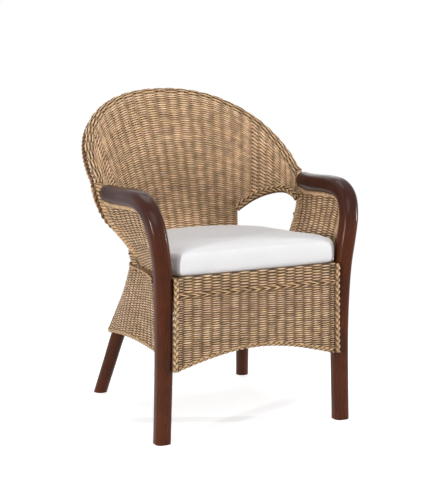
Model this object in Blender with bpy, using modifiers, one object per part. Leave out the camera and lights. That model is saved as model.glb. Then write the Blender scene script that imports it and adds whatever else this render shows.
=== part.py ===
"""Woven rattan armchair with bent wooden arms and a loose seat cushion.

Metres, +Z up. The chair faces -Y and stands on the floor at z = 0. The origin lies on the
floor under the middle of the chair's bounding box. Left is -X.
"""

import math

import bmesh
import bpy
import numpy as np
from mathutils import Vector

# Gap between pieces that touch on the real chair
CLEARANCE = 0.0003

# Seat line, the D-shaped line on which the woven walls stand
SEAT_FRONT_Z = 0.420
SEAT_REAR_Z = 0.394
SEAT_HALF_WIDTH = 0.210
SEAT_CENTRE_Y = -0.030
SEAT_REAR_DEPTH = 0.202
SEAT_ROUND_POWER = 2.05
SEAT_FRONT_HALF_WIDTH = 0.2525
SEAT_SPREAD_POWER = 1.5
WALL_THICKNESS = 0.006

# Hem of the side and rear skirt
# How far out and back from a rear leg's top its corner lies
HEM_CORNER_OUT = 0.0415
HEM_CORNER_BACK = 0.0828
HEM_CORNER_RADIUS = 0.0225
HEM_SIDE_BOW = 0.008
HEM_FRONT_INSET = 0.0025
HEM_FRONT_Z = 0.234
HEM_SIDE_PEAK_RISE = 0.006
HEM_CORNER_Z = 0.194
HEM_REAR_PEAK_Z = 0.224

# Rim of the back, a rounded line that lies in a sloping plane
RIM_HALF_WIDTH = 0.288
RIM_CENTRE_Y = 0.0744
RIM_REAR_DEPTH = 0.2718
RIM_ROUND_POWER = 2.214
RIM_TOP_Z = 0.8138
RIM_END_Z = 0.618
ROLL_SWEEP = math.radians(150)
BACK_FLARE_SHARE = 0.10

# Front post of the back, where the rim comes down to the seat
POST_FOOT_Y = -0.047
# Share of the fall from rim to seat, then the shares of the way back and of the way out
# that are left there
POST_BEND_SHARES = (
    (0.000, 1.00, 1.00),
    (0.114, 0.77, 1.09),
    (0.275, 0.67, 0.98),
    (0.417, 0.55, 0.87),
    (0.559, 0.41, 0.67),
    (0.700, 0.27, 0.41),
    (0.844, 0.14, 0.17),
    (1.000, 0.00, 0.00),
)
RIM_JOIN_Z = 0.602
RIM_BRAID_END_Z = 0.500
BACK_HOOP_RADIUS = 0.0075
RIM_BRAID_RADIUS = 0.0065
# How far the weave bulges over every other stake
RIB_HEIGHT = 0.0025
RIM_BRAID_DROP = math.radians(20)

# Side windows between the back and the arm panels
NECK_SHARE = 0.455
BACK_EDGE_GAP_SHARE = 1.25
BAND_HEIGHT = 0.027
# Share of the rim from the neck to the post, and the window's height share in the wall there
WINDOW_ARCH_SHARES = (
    (0.00, 0.28),
    (0.10, 0.33),
    (0.24, 0.40),
    (0.40, 0.475),
    (0.52, 0.53),
    (0.65, 0.59),
    (0.80, 0.65),
    (0.90, 0.672),
    (0.96, 0.655),
    (1.00, 0.60),
)
ARCH_BRAID_WIDTH = 0.017
ARCH_BRAID_THICKNESS = 0.007
ARCH_BRAID_EDGE = 0.0025

# Arms, each one bent piece with its front leg
WOOD_HALF_SIZE = 0.0215
WOOD_CORNER_RADIUS = 0.011
LEG_WAIST_INSET = 0.004
ARM_TIP_INSET = 0.0072
LEG_FRONT_Y = -0.264
LEG_BACK_SHARE = 0.029
ARM_END_Y = 0.035
ARM_Z = 0.601
# Across from the leg's waist to the arm, back from the leg to the arm's end, up to the arm,
# and the thickness of the wood there
arm_path_shares = (
    (0.23, 0.027, -0.03, 0.96),
    (0.10, 0.027, 0.18, 0.97),
    (0.00, 0.027, 0.38, 1.00),
    (0.02, 0.023, 0.55, 1.02),
    (0.12, 0.008, 0.69, 1.02),
    (0.37, -0.006, 0.80, 1.02),
    (0.64, 0.006, 0.893, 1.04),
    (0.88, 0.083, 0.966, 1.08),
    (0.98, 0.224, 1.000, 1.10),
    (1.00, 0.417, 1.004, 1.07),
    (1.00, 0.626, 0.996, 1.05),
    (1.08, 0.810, 0.990, 1.08),
    (1.22, 0.930, 0.990, 1.05),
    (1.27, 0.978, 0.990, 0.80),
    (1.28, 1.003, 0.990, 0.50),
    (1.28, 1.020, 0.990, 0.28),
)

# Rear legs, round and splayed
REAR_LEG_SEAT_SHARE = 0.3155
REAR_LEG_TOP_INSET = 0.0083
REAR_FOOT_OUT = 0.0735
REAR_FOOT_BACK = 0.1494
REAR_FOOT_RADIUS = 0.0175
# Shares of the foot's way out and back from the leg's top, of its height, and of its radius
rear_leg_shares = (
    (1.048, 1.048, -0.052, 1.00),
    (0.805, 0.799, 0.216, 1.03),
    (0.563, 0.553, 0.480, 1.07),
    (0.207, 0.232, 0.780, 1.03),
    (0.000, 0.000, 1.000, 0.94),
)

# Seat frame
SEAT_HOOP_RADIUS = 0.0105
FRONT_RAIL_DEPTH = 0.024
FRONT_RAIL_HEIGHT = 0.045
FRONT_RAIL_EDGE = 0.002
DECK_THICKNESS = 0.006
SLAT_THICKNESS = 0.010
SLAT_EDGE = 0.0015
SLAT_WIDTH = 0.040
SLAT_SPACING = 0.110
SLAT_COUNT = 3

# Back posts behind the woven back
BACK_POST_RADIUS = 0.007
BACK_POST_SHARE = 0.36
BACK_POST_FOOT_SHARE = 0.015
BACK_POST_TOP_SHARE = 0.93

# Front panel and its braids
FRONT_FACE_Y = -0.281
FRONT_HEM_CORNER_Z = 0.195
FRONT_HEM_PEAK_Z = 0.235
CORNER_BRAID_RADIUS = 0.0065
HEM_BRAID_RADIUS = 0.0045
HEM_END_SHARE = 0.35
SEAT_BRAID_RADIUS = 0.0050
PANEL_BRAID_RADIUS = 0.0045
WALING_RADIUS = 0.0025
WALING_DROP = 0.046

# Arm panels
PANEL_CORNER_Z = 0.530
PANEL_POST_SHARE = 1.30

# Fixings inside the joints
DOWEL_RADIUS = 0.004
DOWEL_LENGTH = 0.044
DOWEL_IN_LEG = 0.018
DOWEL_SPACING = 0.022
HOOP_END_SHARE = 0.02
LEG_BOLT_RADIUS = 0.003
LEG_BOLT_HEAD_RADIUS = 0.0065
LEG_BOLT_HEAD_HEIGHT = 0.004
LEG_BOLT_CROWN_SHARE = 0.7
LEG_BOLT_DROP = 0.020
LEG_BOLT_SINK = 0.008
ARM_PIN_RADIUS = 0.0025
ARM_PIN_LENGTH = 0.030

# Cushion
CUSHION_HEIGHT = 0.062
CUSHION_CROWN = 0.010
CUSHION_FRONT_Y = -0.279
CUSHION_FRONT_INSET = 0.0265
CUSHION_LEG_GAP = 0.012
CUSHION_CROWN_WIDTH = 0.090
CUSHION_FLARE = 0.018
CUSHION_FLARE_SHARE = 0.35
CUSHION_CROWN_SHARES = ((0.15, 0.30), (0.45, 0.70), (1.0, 1.0))
CUSHION_SIDE_STEPS = 11
CUSHION_CORNER_STEPS = 4
CUSHION_FRONT_STEPS = 5
CUSHION_EDGE_STEPS = 6
CUSHION_SIDE_GAP = 0.005
CUSHION_EDGE_RADIUS = 0.016
CUSHION_EDGE_POWER = 0.7
CUSHION_CORNER_RADIUS = 0.020
COVER_THICKNESS = 0.0015
ZIP_LENGTH = 0.240
ZIP_HEIGHT = 0.006

# Sampling of the curved lines
DENSE_COUNT = 400
ARM_STEPS = 3
WOOD_CORNER_STEPS = 3
RIM_STEPS = 40
SEAT_HOOP_STEPS = 40
HEM_STEPS = 76
REAR_LEG_STEPS = 4
POST_STEPS = 2
BACK_POST_STEPS = 8
CORNER_BRAID_STEPS = 8
ARCH_STEPS = 16
DECK_STEPS = 18
BACK_COLUMNS_NECK = 24
BACK_COLUMNS_WINDOW = 14
BACK_ROWS_BELOW = 3
BACK_ROWS_ABOVE = 7
BACK_ROWS_ROLL = 6
SKIRT_ROWS = 4
PANEL_COLUMNS = 9
PANEL_ROWS = 6
FRONT_COLUMNS = 14
FRONT_ROWS = 5

WOOD_COLOUR = (0.075, 0.022, 0.014)
POLE_COLOUR = (0.34, 0.21, 0.10)
WEAVE_COLOUR = (0.40, 0.26, 0.13)
BRAID_COLOUR = (0.46, 0.31, 0.17)
CLOTH_COLOUR = (0.86, 0.85, 0.86)
FOAM_COLOUR = (0.90, 0.86, 0.70)
STEEL_COLOUR = (0.55, 0.55, 0.56)

SHARP_ANGLE = math.radians(40)
REAR_LEG_TOP_LEAN = math.radians(27)
SEAT_SLOPE = (SEAT_FRONT_Z - SEAT_REAR_Z) / (SEAT_CENTRE_Y + SEAT_REAR_DEPTH - FRONT_FACE_Y)
LEG_BACK_Y = LEG_FRONT_Y + LEG_BACK_SHARE * (ARM_END_Y - LEG_FRONT_Y) + WOOD_HALF_SIZE
LEG_WAIST_X = SEAT_FRONT_HALF_WIDTH - LEG_WAIST_INSET
HEM_FRONT_HALF_WIDTH = SEAT_FRONT_HALF_WIDTH - HEM_FRONT_INSET
CUSHION_FRONT_HALF_WIDTH = SEAT_FRONT_HALF_WIDTH - CUSHION_FRONT_INSET


# Scene and materials


def clear_scene():
    for obj in list(bpy.data.objects):
        bpy.data.objects.remove(obj, do_unlink=True)


def new_collection(name):
    collection = bpy.data.collections.new(name)
    bpy.context.scene.collection.children.link(collection)
    return collection


def material(name, colour, roughness, metallic=0.0):
    made = bpy.data.materials.new(name)
    made.use_nodes = True
    shader = made.node_tree.nodes["Principled BSDF"]
    shader.inputs["Base Color"].default_value = (*colour, 1.0)
    shader.inputs["Roughness"].default_value = roughness
    shader.inputs["Metallic"].default_value = metallic
    made.diffuse_color = (*colour, 1.0)
    return made


clear_scene()
CHAIR = new_collection("rattan_armchair")
CUTTERS = new_collection("cutters")
FINISHES = {
    "wood": material("dark_wood", WOOD_COLOUR, 0.25),
    "pole": material("rattan_pole", POLE_COLOUR, 0.5),
    "weave": material("woven_rattan", WEAVE_COLOUR, 0.65),
    "braid": material("braided_rattan", BRAID_COLOUR, 0.65),
    "cloth": material("white_cloth", CLOTH_COLOUR, 0.9),
    "foam": material("foam", FOAM_COLOUR, 0.95),
    "steel": material("steel", STEEL_COLOUR, 0.35, 0.9),
}


def place(name, data, finish=None):
    """A new object of this data: a piece when it has a finish, or else a cutter."""
    obj = bpy.data.objects.new(name, data)
    if finish is None:
        CUTTERS.objects.link(obj)
        obj.hide_render = True
        obj.display_type = "WIRE"
        return obj
    CHAIR.objects.link(obj)
    data.materials.append(FINISHES[finish])
    return obj


def as_mesh(obj):
    """Replaces a curve object with the mesh it makes, its caps welded on."""
    bpy.context.view_layer.update()
    evaluated = obj.evaluated_get(bpy.context.evaluated_depsgraph_get())
    mesh = bpy.data.meshes.new_from_object(evaluated)
    bm = bmesh.new()
    bm.from_mesh(mesh)
    bmesh.ops.remove_doubles(bm, verts=bm.verts, dist=CLEARANCE / 10)
    bm.to_mesh(mesh)
    bm.free()
    made = bpy.data.objects.new(obj.name, mesh)
    made.matrix_world = obj.matrix_world
    for collection in obj.users_collection:
        collection.objects.link(made)
    made.hide_render = obj.hide_render
    made.display_type = obj.display_type
    name = obj.name
    bpy.data.objects.remove(obj, do_unlink=True)
    made.name = name
    return made


def cut(obj, *cutters):
    for cutter in cutters:
        boolean = obj.modifiers.new("cut_" + cutter.name, "BOOLEAN")
        boolean.operation = "DIFFERENCE"
        boolean.object = cutter


def smooth(obj):
    obj.data.shade_smooth()
    obj.data.set_sharp_from_angle(angle=SHARP_ANGLE)


# Lines that the woven walls follow


def rounded_half(half_width, rear_depth, power, centre_y, front_half_width, front_y):
    """Half of a D-shaped plan, from the middle of the rear to its front end."""
    angles = np.linspace(0, math.pi / 2, DENSE_COUNT)
    across = half_width * np.sin(angles) ** (2 / power)
    back = centre_y + rear_depth * np.cos(angles) ** (2 / power)
    ahead = np.linspace(0, 1, DENSE_COUNT)[1:]
    front_across = half_width + (front_half_width - half_width) * ahead**SEAT_SPREAD_POWER
    front_back = centre_y + (front_y - centre_y) * ahead
    return np.column_stack([np.r_[across, front_across], np.r_[back, front_back]])


def lengths(line):
    return np.r_[0, np.cumsum(np.linalg.norm(np.diff(line, axis=0), axis=1))]


def at_share(line, share):
    """The point at this share of a line's length."""
    run = lengths(line)
    return np.array([np.interp(share * run[-1], run, column) for column in line.T])


def share_of(line, column, value):
    """The share of its length at which a falling coordinate reaches a value."""
    run = lengths(line)
    return float(np.interp(-value, -line[:, column], run) / run[-1])


def seat_z(y):
    return SEAT_FRONT_Z - SEAT_SLOPE * (y - FRONT_FACE_Y)


SEAT_LINE = rounded_half(
    SEAT_HALF_WIDTH,
    SEAT_REAR_DEPTH,
    SEAT_ROUND_POWER,
    SEAT_CENTRE_Y,
    SEAT_FRONT_HALF_WIDTH,
    LEG_BACK_Y + CLEARANCE,
)


def smooth_line(knots, count):
    """A smooth line through the knots, with this many steps between each two."""
    knots = np.array(knots, float)
    ends = np.vstack([2 * knots[0] - knots[1], knots, 2 * knots[-1] - knots[-2]])
    line = []
    for before, start, end, after in zip(ends, ends[1:], ends[2:], ends[3:]):
        for t in np.arange(count) / count:
            rise = (end - before) * t
            bend = (2 * before - 5 * start + 4 * end - after) * t**2
            turn = (3 * start - before - 3 * end + after) * t**3
            line.append((2 * start + rise + bend + turn) / 2)
    line.append(knots[-1])
    return np.array(line)


def side_of(share):
    return -1.0 if share < 0 else 1.0


def seat_point(share, outward=0.0):
    """A point of the seat line; share runs from -1 at the left leg by 0 at the rear to 1."""
    step = 1 / DENSE_COUNT
    side = side_of(share)
    x, y = at_share(SEAT_LINE, abs(share))
    ahead = at_share(SEAT_LINE, min(abs(share) + step, 1)) - at_share(SEAT_LINE, max(abs(share) - step, 0))
    if abs(share) < step:
        ahead = np.array([1.0, 0.0])
    ahead /= np.linalg.norm(ahead)
    x -= outward * ahead[1]
    y += outward * ahead[0]
    return Vector((side * x, y, seat_z(y)))


REAR_LEG_TOP = seat_point(REAR_LEG_SEAT_SHARE, -REAR_LEG_TOP_INSET)
HEM_CORNER = np.array([REAR_LEG_TOP.x + HEM_CORNER_OUT, REAR_LEG_TOP.y + HEM_CORNER_BACK])


def hem_line():
    """Half of the hem's plan: straight behind, round the rear leg, and bowed along the side."""
    front = np.array([HEM_FRONT_HALF_WIDTH, LEG_BACK_Y + CLEARANCE])
    corner = HEM_CORNER
    turn_end = math.pi / 2 + math.atan2(front[0] - corner[0], corner[1] - front[1])
    points = [(0.0, corner[1] + HEM_CORNER_RADIUS)]
    for turn in np.linspace(0, turn_end, DENSE_COUNT // 10):
        points.append(corner + HEM_CORNER_RADIUS * np.array([math.sin(turn), math.cos(turn)]))
    start = points[-1]
    for share in np.linspace(0, 1, DENSE_COUNT // 4)[1:]:
        bow = HEM_SIDE_BOW * math.sin(share * math.pi)
        points.append(start + (front - start) * share + np.array([bow, 0.0]))
    return np.array(points)


def post_line():
    """The right front post of the back, from the rim's widest point down to the seat hoop."""
    foot_x, foot_y = at_share(SEAT_LINE, POST_SHARE)
    foot_z = seat_z(foot_y)
    knots = []
    for fall, back, out in POST_BEND_SHARES:
        x = foot_x + out * (RIM_HALF_WIDTH - foot_x)
        y = foot_y + back * (RIM_CENTRE_Y - foot_y)
        knots.append((x, y, RIM_END_Z + fall * (foot_z - RIM_END_Z)))
    return smooth_line(knots, POST_STEPS)


def post_at(z):
    """The middle of the right front post at a height."""
    return Vector([float(np.interp(-z, -POST_LINE[:, 2], column)) for column in POST_LINE.T])


def rim_line():
    """Half of the back hoop's centre line, from the top of the back to the arm's end."""
    plan = rounded_half(
        RIM_HALF_WIDTH, RIM_REAR_DEPTH, RIM_ROUND_POWER, RIM_CENTRE_Y, RIM_HALF_WIDTH, RIM_CENTRE_Y
    )[:DENSE_COUNT]
    height = RIM_TOP_Z - (RIM_TOP_Z - RIM_END_Z) * (plan[0, 1] - plan[:, 1]) / RIM_REAR_DEPTH
    end = post_at(RIM_JOIN_Z)
    between = [point for point in POST_LINE[1:] if point[2] > RIM_JOIN_Z]
    return np.vstack([np.column_stack([plan, height]), *between, end])


POST_SHARE = share_of(SEAT_LINE, 1, POST_FOOT_Y)
POST_LINE = post_line()
ARCH_LINE = smooth_line(WINDOW_ARCH_SHARES, 8)
HEM_LINE = hem_line()
RIM_LINE = rim_line()
SKIRT_OFFSET = SEAT_HOOP_RADIUS + CLEARANCE + WALL_THICKNESS / 2
ROLL_RADIUS = BACK_HOOP_RADIUS + 7 * CLEARANCE + WALL_THICKNESS / 2


def rim_frame(share):
    """Centre, outward and upward directions of the back hoop at a share of the rim."""
    step = 1 / DENSE_COUNT
    side = side_of(share)
    centre = Vector(at_share(RIM_LINE, abs(share)))
    ahead = Vector(at_share(RIM_LINE, min(abs(share) + step, 1))) - Vector(
        at_share(RIM_LINE, max(abs(share) - step, 0))
    )
    if abs(share) < step:
        ahead = Vector((1, 0, 0))
    ahead.normalize()
    outward = Vector((-ahead.y, ahead.x, 0)).normalized()
    upward = ahead.cross(outward) * -1
    if upward.z < 0:
        upward = -upward
    for vector in (centre, outward, upward):
        vector.x *= side
    return centre, outward, upward


def back_wall(share, height_share):
    """A point on the middle of the woven back, from the seat line up to the rim."""
    foot = seat_point(share * POST_SHARE)
    centre, outward, _ = rim_frame(share)
    top = centre - ROLL_RADIUS * outward
    spread = (1 - BACK_FLARE_SHARE) * height_share + BACK_FLARE_SHARE * height_share**3
    point = foot.lerp(top, spread)
    point.z = foot.z + (top.z - foot.z) * height_share
    beyond_neck = max(0.0, (abs(share) - NECK_SHARE) / (1 - NECK_SHARE))
    post_foot, post_top = Vector(POST_LINE[-1]), Vector(RIM_LINE[-1])
    bulge = post_at(post_foot.z + (post_top.z - post_foot.z) * height_share)
    bulge -= post_foot.lerp(post_top, spread)
    point.x += side_of(share) * bulge.x * beyond_neck**2
    point.y += bulge.y * beyond_neck**2
    return point


def back_roll(share, turn):
    """A point on the weave that turns over the back hoop."""
    centre, outward, upward = rim_frame(share)
    return centre + ROLL_RADIUS * (upward * math.sin(turn) - outward * math.cos(turn))


def arch_share(share):
    """How high the window reaches in the back wall at a share of the rim."""
    across = max(0.0, (abs(share) - NECK_SHARE) / (1 - NECK_SHARE))
    return float(np.interp(across, ARCH_LINE[:, 0], ARCH_LINE[:, 1]))


def band_share(share):
    """How high the band under the windows reaches in the back wall."""
    return BAND_HEIGHT / (back_wall(share, 1.0).z - back_wall(share, 0.0).z)


def hem_point(share, outward=0.0):
    """A point of the skirt's hem, opposite the seat line's point at the same share."""
    step = 1 / DENSE_COUNT
    side = side_of(share)
    x, y = at_share(HEM_LINE, abs(share))
    ahead = at_share(HEM_LINE, min(abs(share) + step, 1)) - at_share(HEM_LINE, max(abs(share) - step, 0))
    if abs(share) < step:
        ahead = np.array([1.0, 0.0])
    ahead /= np.linalg.norm(ahead)
    x -= outward * ahead[1]
    y += outward * ahead[0]
    corner = share_of(HEM_LINE, 1, HEM_CORNER[1])
    if abs(share) < corner:
        along = abs(share) / corner
        z = HEM_CORNER_Z + (HEM_REAR_PEAK_Z - HEM_CORNER_Z) * math.cos(along * math.pi / 2) ** 2
    else:
        along = (abs(share) - corner) / (1 - corner)
        z = HEM_CORNER_Z + (HEM_FRONT_Z - HEM_CORNER_Z) * math.sin(along * math.pi / 2)
        z += HEM_SIDE_PEAK_RISE * math.sin(along * math.pi)
    return Vector((side * x, y, z))


def skirt_wall(share, drop_share):
    """A point on the middle of the skirt, from beside the seat hoop down to the hem."""
    top = seat_point(share, SKIRT_OFFSET)
    top.z -= SEAT_HOOP_RADIUS + 3 * CLEARANCE
    return top.lerp(hem_point(share, WALL_THICKNESS / 2), drop_share)


# Makers of common forms


def tube(name, points, radius, finish, sides=8, radii=None):
    """A round rod along a line of points, with its own radius at each where these are given."""
    curve = bpy.data.curves.new(name, "CURVE")
    curve.dimensions = "3D"
    curve.bevel_depth = radius
    curve.bevel_resolution = sides // 2 - 2
    curve.use_fill_caps = True
    curve.resolution_u = 1
    spline = curve.splines.new("POLY")
    spline.points.add(len(points) - 1)
    for knot, point in zip(spline.points, points):
        knot.co = (*point, 1.0)
    if radii is not None:
        for knot, share in zip(spline.points, radii):
            knot.radius = share
    return place(name, curve, finish)


def cylinder(name, start, end, radius, finish=None, end_radius=None, sides=24):
    """A straight round bar between two points, tapering where it has an end radius."""
    start, end = Vector(start), Vector(end)
    bm = bmesh.new()
    bmesh.ops.create_cone(
        bm,
        cap_ends=True,
        segments=sides,
        radius1=radius,
        radius2=radius if end_radius is None else end_radius,
        depth=(end - start).length,
    )
    mesh = bpy.data.meshes.new(name)
    bm.to_mesh(mesh)
    bm.free()
    obj = place(name, mesh, finish)
    obj.location = (start + end) / 2
    obj.rotation_mode = "QUATERNION"
    obj.rotation_quaternion = (end - start).to_track_quat("Z", "Y")
    smooth(obj)
    return obj


def box(name, low, high, finish=None, edge=0.0):
    """A box between two corners, its edges rounded where it has an edge size."""
    low, high = Vector(low), Vector(high)
    bm = bmesh.new()
    bmesh.ops.create_cube(bm, size=1)
    bmesh.ops.scale(bm, vec=high - low, verts=bm.verts)
    mesh = bpy.data.meshes.new(name)
    bm.to_mesh(mesh)
    bm.free()
    obj = place(name, mesh, finish)
    obj.location = (low + high) / 2
    if edge:
        bevel = obj.modifiers.new("rounded_edges", "BEVEL")
        bevel.width = edge
        bevel.segments = 2
    return obj


def grid(name, columns, rows, point_at, keep, finish, thickness=WALL_THICKNESS):
    """A woven wall: a grid of points given by column and row, made thick."""
    bm = bmesh.new()
    bmesh.ops.create_grid(bm, x_segments=columns, y_segments=rows, size=1)
    cells = []
    for vert in bm.verts:
        column = round((vert.co.x + 1) / 2 * columns)
        row = round((vert.co.y + 1) / 2 * rows)
        cells.append((vert, column, row))
    places = {vert: (column, row) for vert, column, row in cells}
    gone = []
    for face in bm.faces:
        column = min(places[vert][0] for vert in face.verts)
        row = min(places[vert][1] for vert in face.verts)
        if not keep(column, row):
            gone.append(face)
    for vert, column, row in cells:
        vert.co = point_at(column, row)
    bmesh.ops.delete(bm, geom=gone, context="FACES")
    mesh = bpy.data.meshes.new(name)
    bm.to_mesh(mesh)
    bm.free()
    obj = place(name, mesh, finish)
    solidify = obj.modifiers.new("wall", "SOLIDIFY")
    solidify.thickness = thickness
    solidify.offset = 0
    smooth(obj)
    return obj


def all_cells(column, row):
    return True


# Arms and legs


ARM_TIP = post_at(arm_path_shares[-1][2] * ARM_Z)
ARM_X = LEG_WAIST_X + (ARM_TIP.x - ARM_TIP_INSET - LEG_WAIST_X) / arm_path_shares[-1][0]


def arm_knot(row):
    across, back, up, thickness = row
    return (
        LEG_WAIST_X + across * (ARM_X - LEG_WAIST_X),
        LEG_FRONT_Y + back * (ARM_END_Y - LEG_FRONT_Y),
        up * ARM_Z,
        thickness * WOOD_HALF_SIZE,
    )


# Centre and half thickness of the right arm and leg, from below the floor to the arm's end
ARM_LINE = smooth_line([arm_knot(row) for row in arm_path_shares], ARM_STEPS)


def under_arm(offset):
    """The line this far inside the bend of the right arm and leg, from the floor up."""
    line = []
    for index in range(1, len(ARM_LINE) - 1):
        ahead = Vector(ARM_LINE[index + 1][:3] - ARM_LINE[index - 1][:3])
        inward = ahead.cross(Vector((1, 0, 0))).normalized()
        x, y, z, half = ARM_LINE[index]
        line.append(Vector((x, y, z)) + inward * (half + offset))
    return line


def leg_at(z):
    """Centre x, centre y and half thickness of the right front leg at a height."""
    rising = ARM_LINE[: int(np.argmax(ARM_LINE[:, 2])) + 1]
    return [float(np.interp(z, rising[:, 2], rising[:, column])) for column in (0, 1, 3)]


def rounded_square(name):
    """The section of the arms and front legs, one unit in half size, a guide for their sweep."""
    curve = bpy.data.curves.new(name, "CURVE")
    curve.dimensions = "2D"
    round_share = WOOD_CORNER_RADIUS / WOOD_HALF_SIZE
    points = []
    for quarter in range(4):
        start = quarter * math.pi / 2
        middle_x = (1 - round_share) * (math.cos(start) - math.sin(start))
        middle_y = (1 - round_share) * (math.sin(start) + math.cos(start))
        for turn in np.linspace(0, math.pi / 2, WOOD_CORNER_STEPS):
            x = middle_x + round_share * math.cos(start + turn)
            y = middle_y + round_share * math.sin(start + turn)
            points.append((x, y))
    spline = curve.splines.new("POLY")
    spline.points.add(len(points) - 1)
    for knot, point in zip(spline.points, reversed(points)):
        knot.co = (*point, 0.0, 1.0)
    spline.use_cyclic_u = True
    return place(name, curve)


def arm_and_leg(side, name, section, cutters):
    curve = bpy.data.curves.new(name, "CURVE")
    curve.dimensions = "3D"
    curve.bevel_mode = "OBJECT"
    curve.bevel_object = section
    curve.use_fill_caps = True
    curve.resolution_u = 1
    spline = curve.splines.new("POLY")
    spline.points.add(len(ARM_LINE) - 1)
    for knot, (x, y, z, half) in zip(spline.points, ARM_LINE):
        knot.co = (side * x, y, z, 1.0)
        knot.radius = half
    obj = as_mesh(place(name, curve, "wood"))
    cut(obj, *cutters)
    smooth(obj)
    return obj


def rear_leg_line(side):
    """Centre and radius of a rear leg, from below the floor to its top under the deck."""
    slant = REAR_FOOT_RADIUS * math.sin(REAR_LEG_TOP_LEAN)
    top = REAR_LEG_TOP.z - DECK_THICKNESS - slant - 2 * CLEARANCE
    knots = []
    for out, back, up, thickness in rear_leg_shares:
        x = REAR_LEG_TOP.x + out * REAR_FOOT_OUT
        y = REAR_LEG_TOP.y + back * REAR_FOOT_BACK
        knots.append((side * x, y, up * top, thickness * REAR_FOOT_RADIUS))
    return smooth_line(knots, REAR_LEG_STEPS)


def rear_leg(side, name, cutters):
    line = rear_leg_line(side)
    obj = tube(name, line[:, :3], 1.0, "wood", 16, line[:, 3])
    obj = as_mesh(obj)
    cut(obj, *cutters)
    smooth(obj)
    return obj


def floor_cutter():
    """The floor, which cuts the feet flat."""
    reach = ARM_Z
    return box("floor_cutter", (-reach, -reach, -reach), (reach, reach, 0.0))


# Seat frame and deck


def front_rail_box():
    """Low and high corners of the rail between the front legs."""
    front = FRONT_FACE_Y + WALL_THICKNESS + CLEARANCE
    top = seat_z(front + FRONT_RAIL_DEPTH) - DECK_THICKNESS - CLEARANCE
    inner = [leg_at(z)[0] - leg_at(z)[2] for z in (top - FRONT_RAIL_HEIGHT, top)]
    half = min(inner) - CLEARANCE
    return Vector((-half, front, top - FRONT_RAIL_HEIGHT)), Vector((half, front + FRONT_RAIL_DEPTH, top))


def front_rail(cutters):
    low, high = front_rail_box()
    obj = box("seat_rail_front", low, high, "wood", FRONT_RAIL_EDGE)
    cut(obj, *cutters)
    return obj


def rail_dowel_ends(side, index):
    """Where a dowel starts in the front rail and ends in the leg."""
    low, high = front_rail_box()
    middle = (low + high) / 2
    z = middle.z + (index - 0.5) * DOWEL_SPACING
    inside = high.x + DOWEL_IN_LEG - DOWEL_LENGTH
    outside = high.x + DOWEL_IN_LEG
    return Vector((side * inside, middle.y, z)), Vector((side * outside, middle.y, z))


def hoop_dowel_ends(side):
    """Where a dowel starts in the seat hoop and ends in the leg."""
    end = seat_hoop_point(side)
    back = seat_hoop_point(side * (1 - HOOP_END_SHARE))
    ahead = (end - back).normalized()
    return end - ahead * (DOWEL_LENGTH - DOWEL_IN_LEG), end + ahead * DOWEL_IN_LEG


def drill(name, start, end, radius):
    """A cutter for a hole that holds a pin between these ends."""
    start, end = Vector(start), Vector(end)
    over = (end - start).normalized() * CLEARANCE
    return cylinder(name, start - over, end + over, radius + CLEARANCE)


def seat_hoop_point(share):
    point = seat_point(share)
    point.z -= SEAT_HOOP_RADIUS
    return point


def seat_hoop_line():
    return [seat_hoop_point(share) for share in np.linspace(-1, 1, SEAT_HOOP_STEPS + 1)]


def seat_hoop(cutters):
    obj = as_mesh(tube("seat_hoop", seat_hoop_line(), SEAT_HOOP_RADIUS, "pole"))
    cut(obj, *cutters)
    smooth(obj)
    return obj


def bolt_ends(side):
    """Where a rear leg's bolt ends in the seat hoop, and where it leaves the leg's inner side."""
    line = rear_leg_line(side)
    leg_top, below = Vector(line[-1][:3]), Vector(line[-2][:3])
    shares = np.linspace(0, POST_SHARE, DENSE_COUNT // 2)
    hoop = [seat_hoop_point(side * share) for share in shares]
    nearest = min(hoop, key=lambda point: (point - leg_top).length)
    through = leg_top + (below - leg_top).normalized() * LEG_BOLT_DROP
    ahead = (through - nearest).normalized()
    return nearest, through + ahead * (line[-1][3] - LEG_BOLT_SINK)


def bolt(name, tip, seat_under_head):
    """A round-headed bolt: a turned profile, its head away from the tip."""
    length = (seat_under_head - tip).length
    profile = bpy.data.meshes.new(name)
    outline = (
        (0.0, length + LEG_BOLT_HEAD_HEIGHT),
        (LEG_BOLT_HEAD_RADIUS * LEG_BOLT_CROWN_SHARE, length + LEG_BOLT_HEAD_HEIGHT),
        (LEG_BOLT_HEAD_RADIUS, length + LEG_BOLT_HEAD_HEIGHT / 2),
        (LEG_BOLT_HEAD_RADIUS, length),
        (LEG_BOLT_RADIUS, length),
        (LEG_BOLT_RADIUS, 0.0),
        (0.0, 0.0),
    )
    bm = bmesh.new()
    verts = [bm.verts.new((x, 0.0, z)) for x, z in outline]
    for first, second in zip(verts, verts[1:]):
        bm.edges.new((first, second))
    bm.to_mesh(profile)
    bm.free()
    obj = place(name, profile, "steel")
    screw = obj.modifiers.new("turn", "SCREW")
    screw.steps = 16
    screw.render_steps = 16
    screw.use_merge_vertices = True
    screw.merge_threshold = CLEARANCE / 10
    obj.location = tip
    obj.rotation_mode = "QUATERNION"
    obj.rotation_quaternion = (seat_under_head - tip).to_track_quat("Z", "Y")
    return obj


def bolt_cutters(side, name):
    """The bolt's hole and the recess for its head."""
    tip, seat = bolt_ends(side)
    out = (seat - tip).normalized()
    hole = drill("hole_" + name, tip, seat, LEG_BOLT_RADIUS)
    recess_end = seat + out * (LEG_BOLT_SINK + REAR_FOOT_RADIUS)
    recess_start = seat - out * CLEARANCE
    recess = cylinder("recess_" + name, recess_start, recess_end, LEG_BOLT_HEAD_RADIUS + CLEARANCE)
    return hole, recess


def tilt_with_seat(obj, rise):
    """Lays a flat object on the seat's sloping plane, this far above it."""
    obj.location = (0, 0, seat_z(0) + rise)
    obj.rotation_euler = (-math.atan(SEAT_SLOPE), 0, 0)


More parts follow.
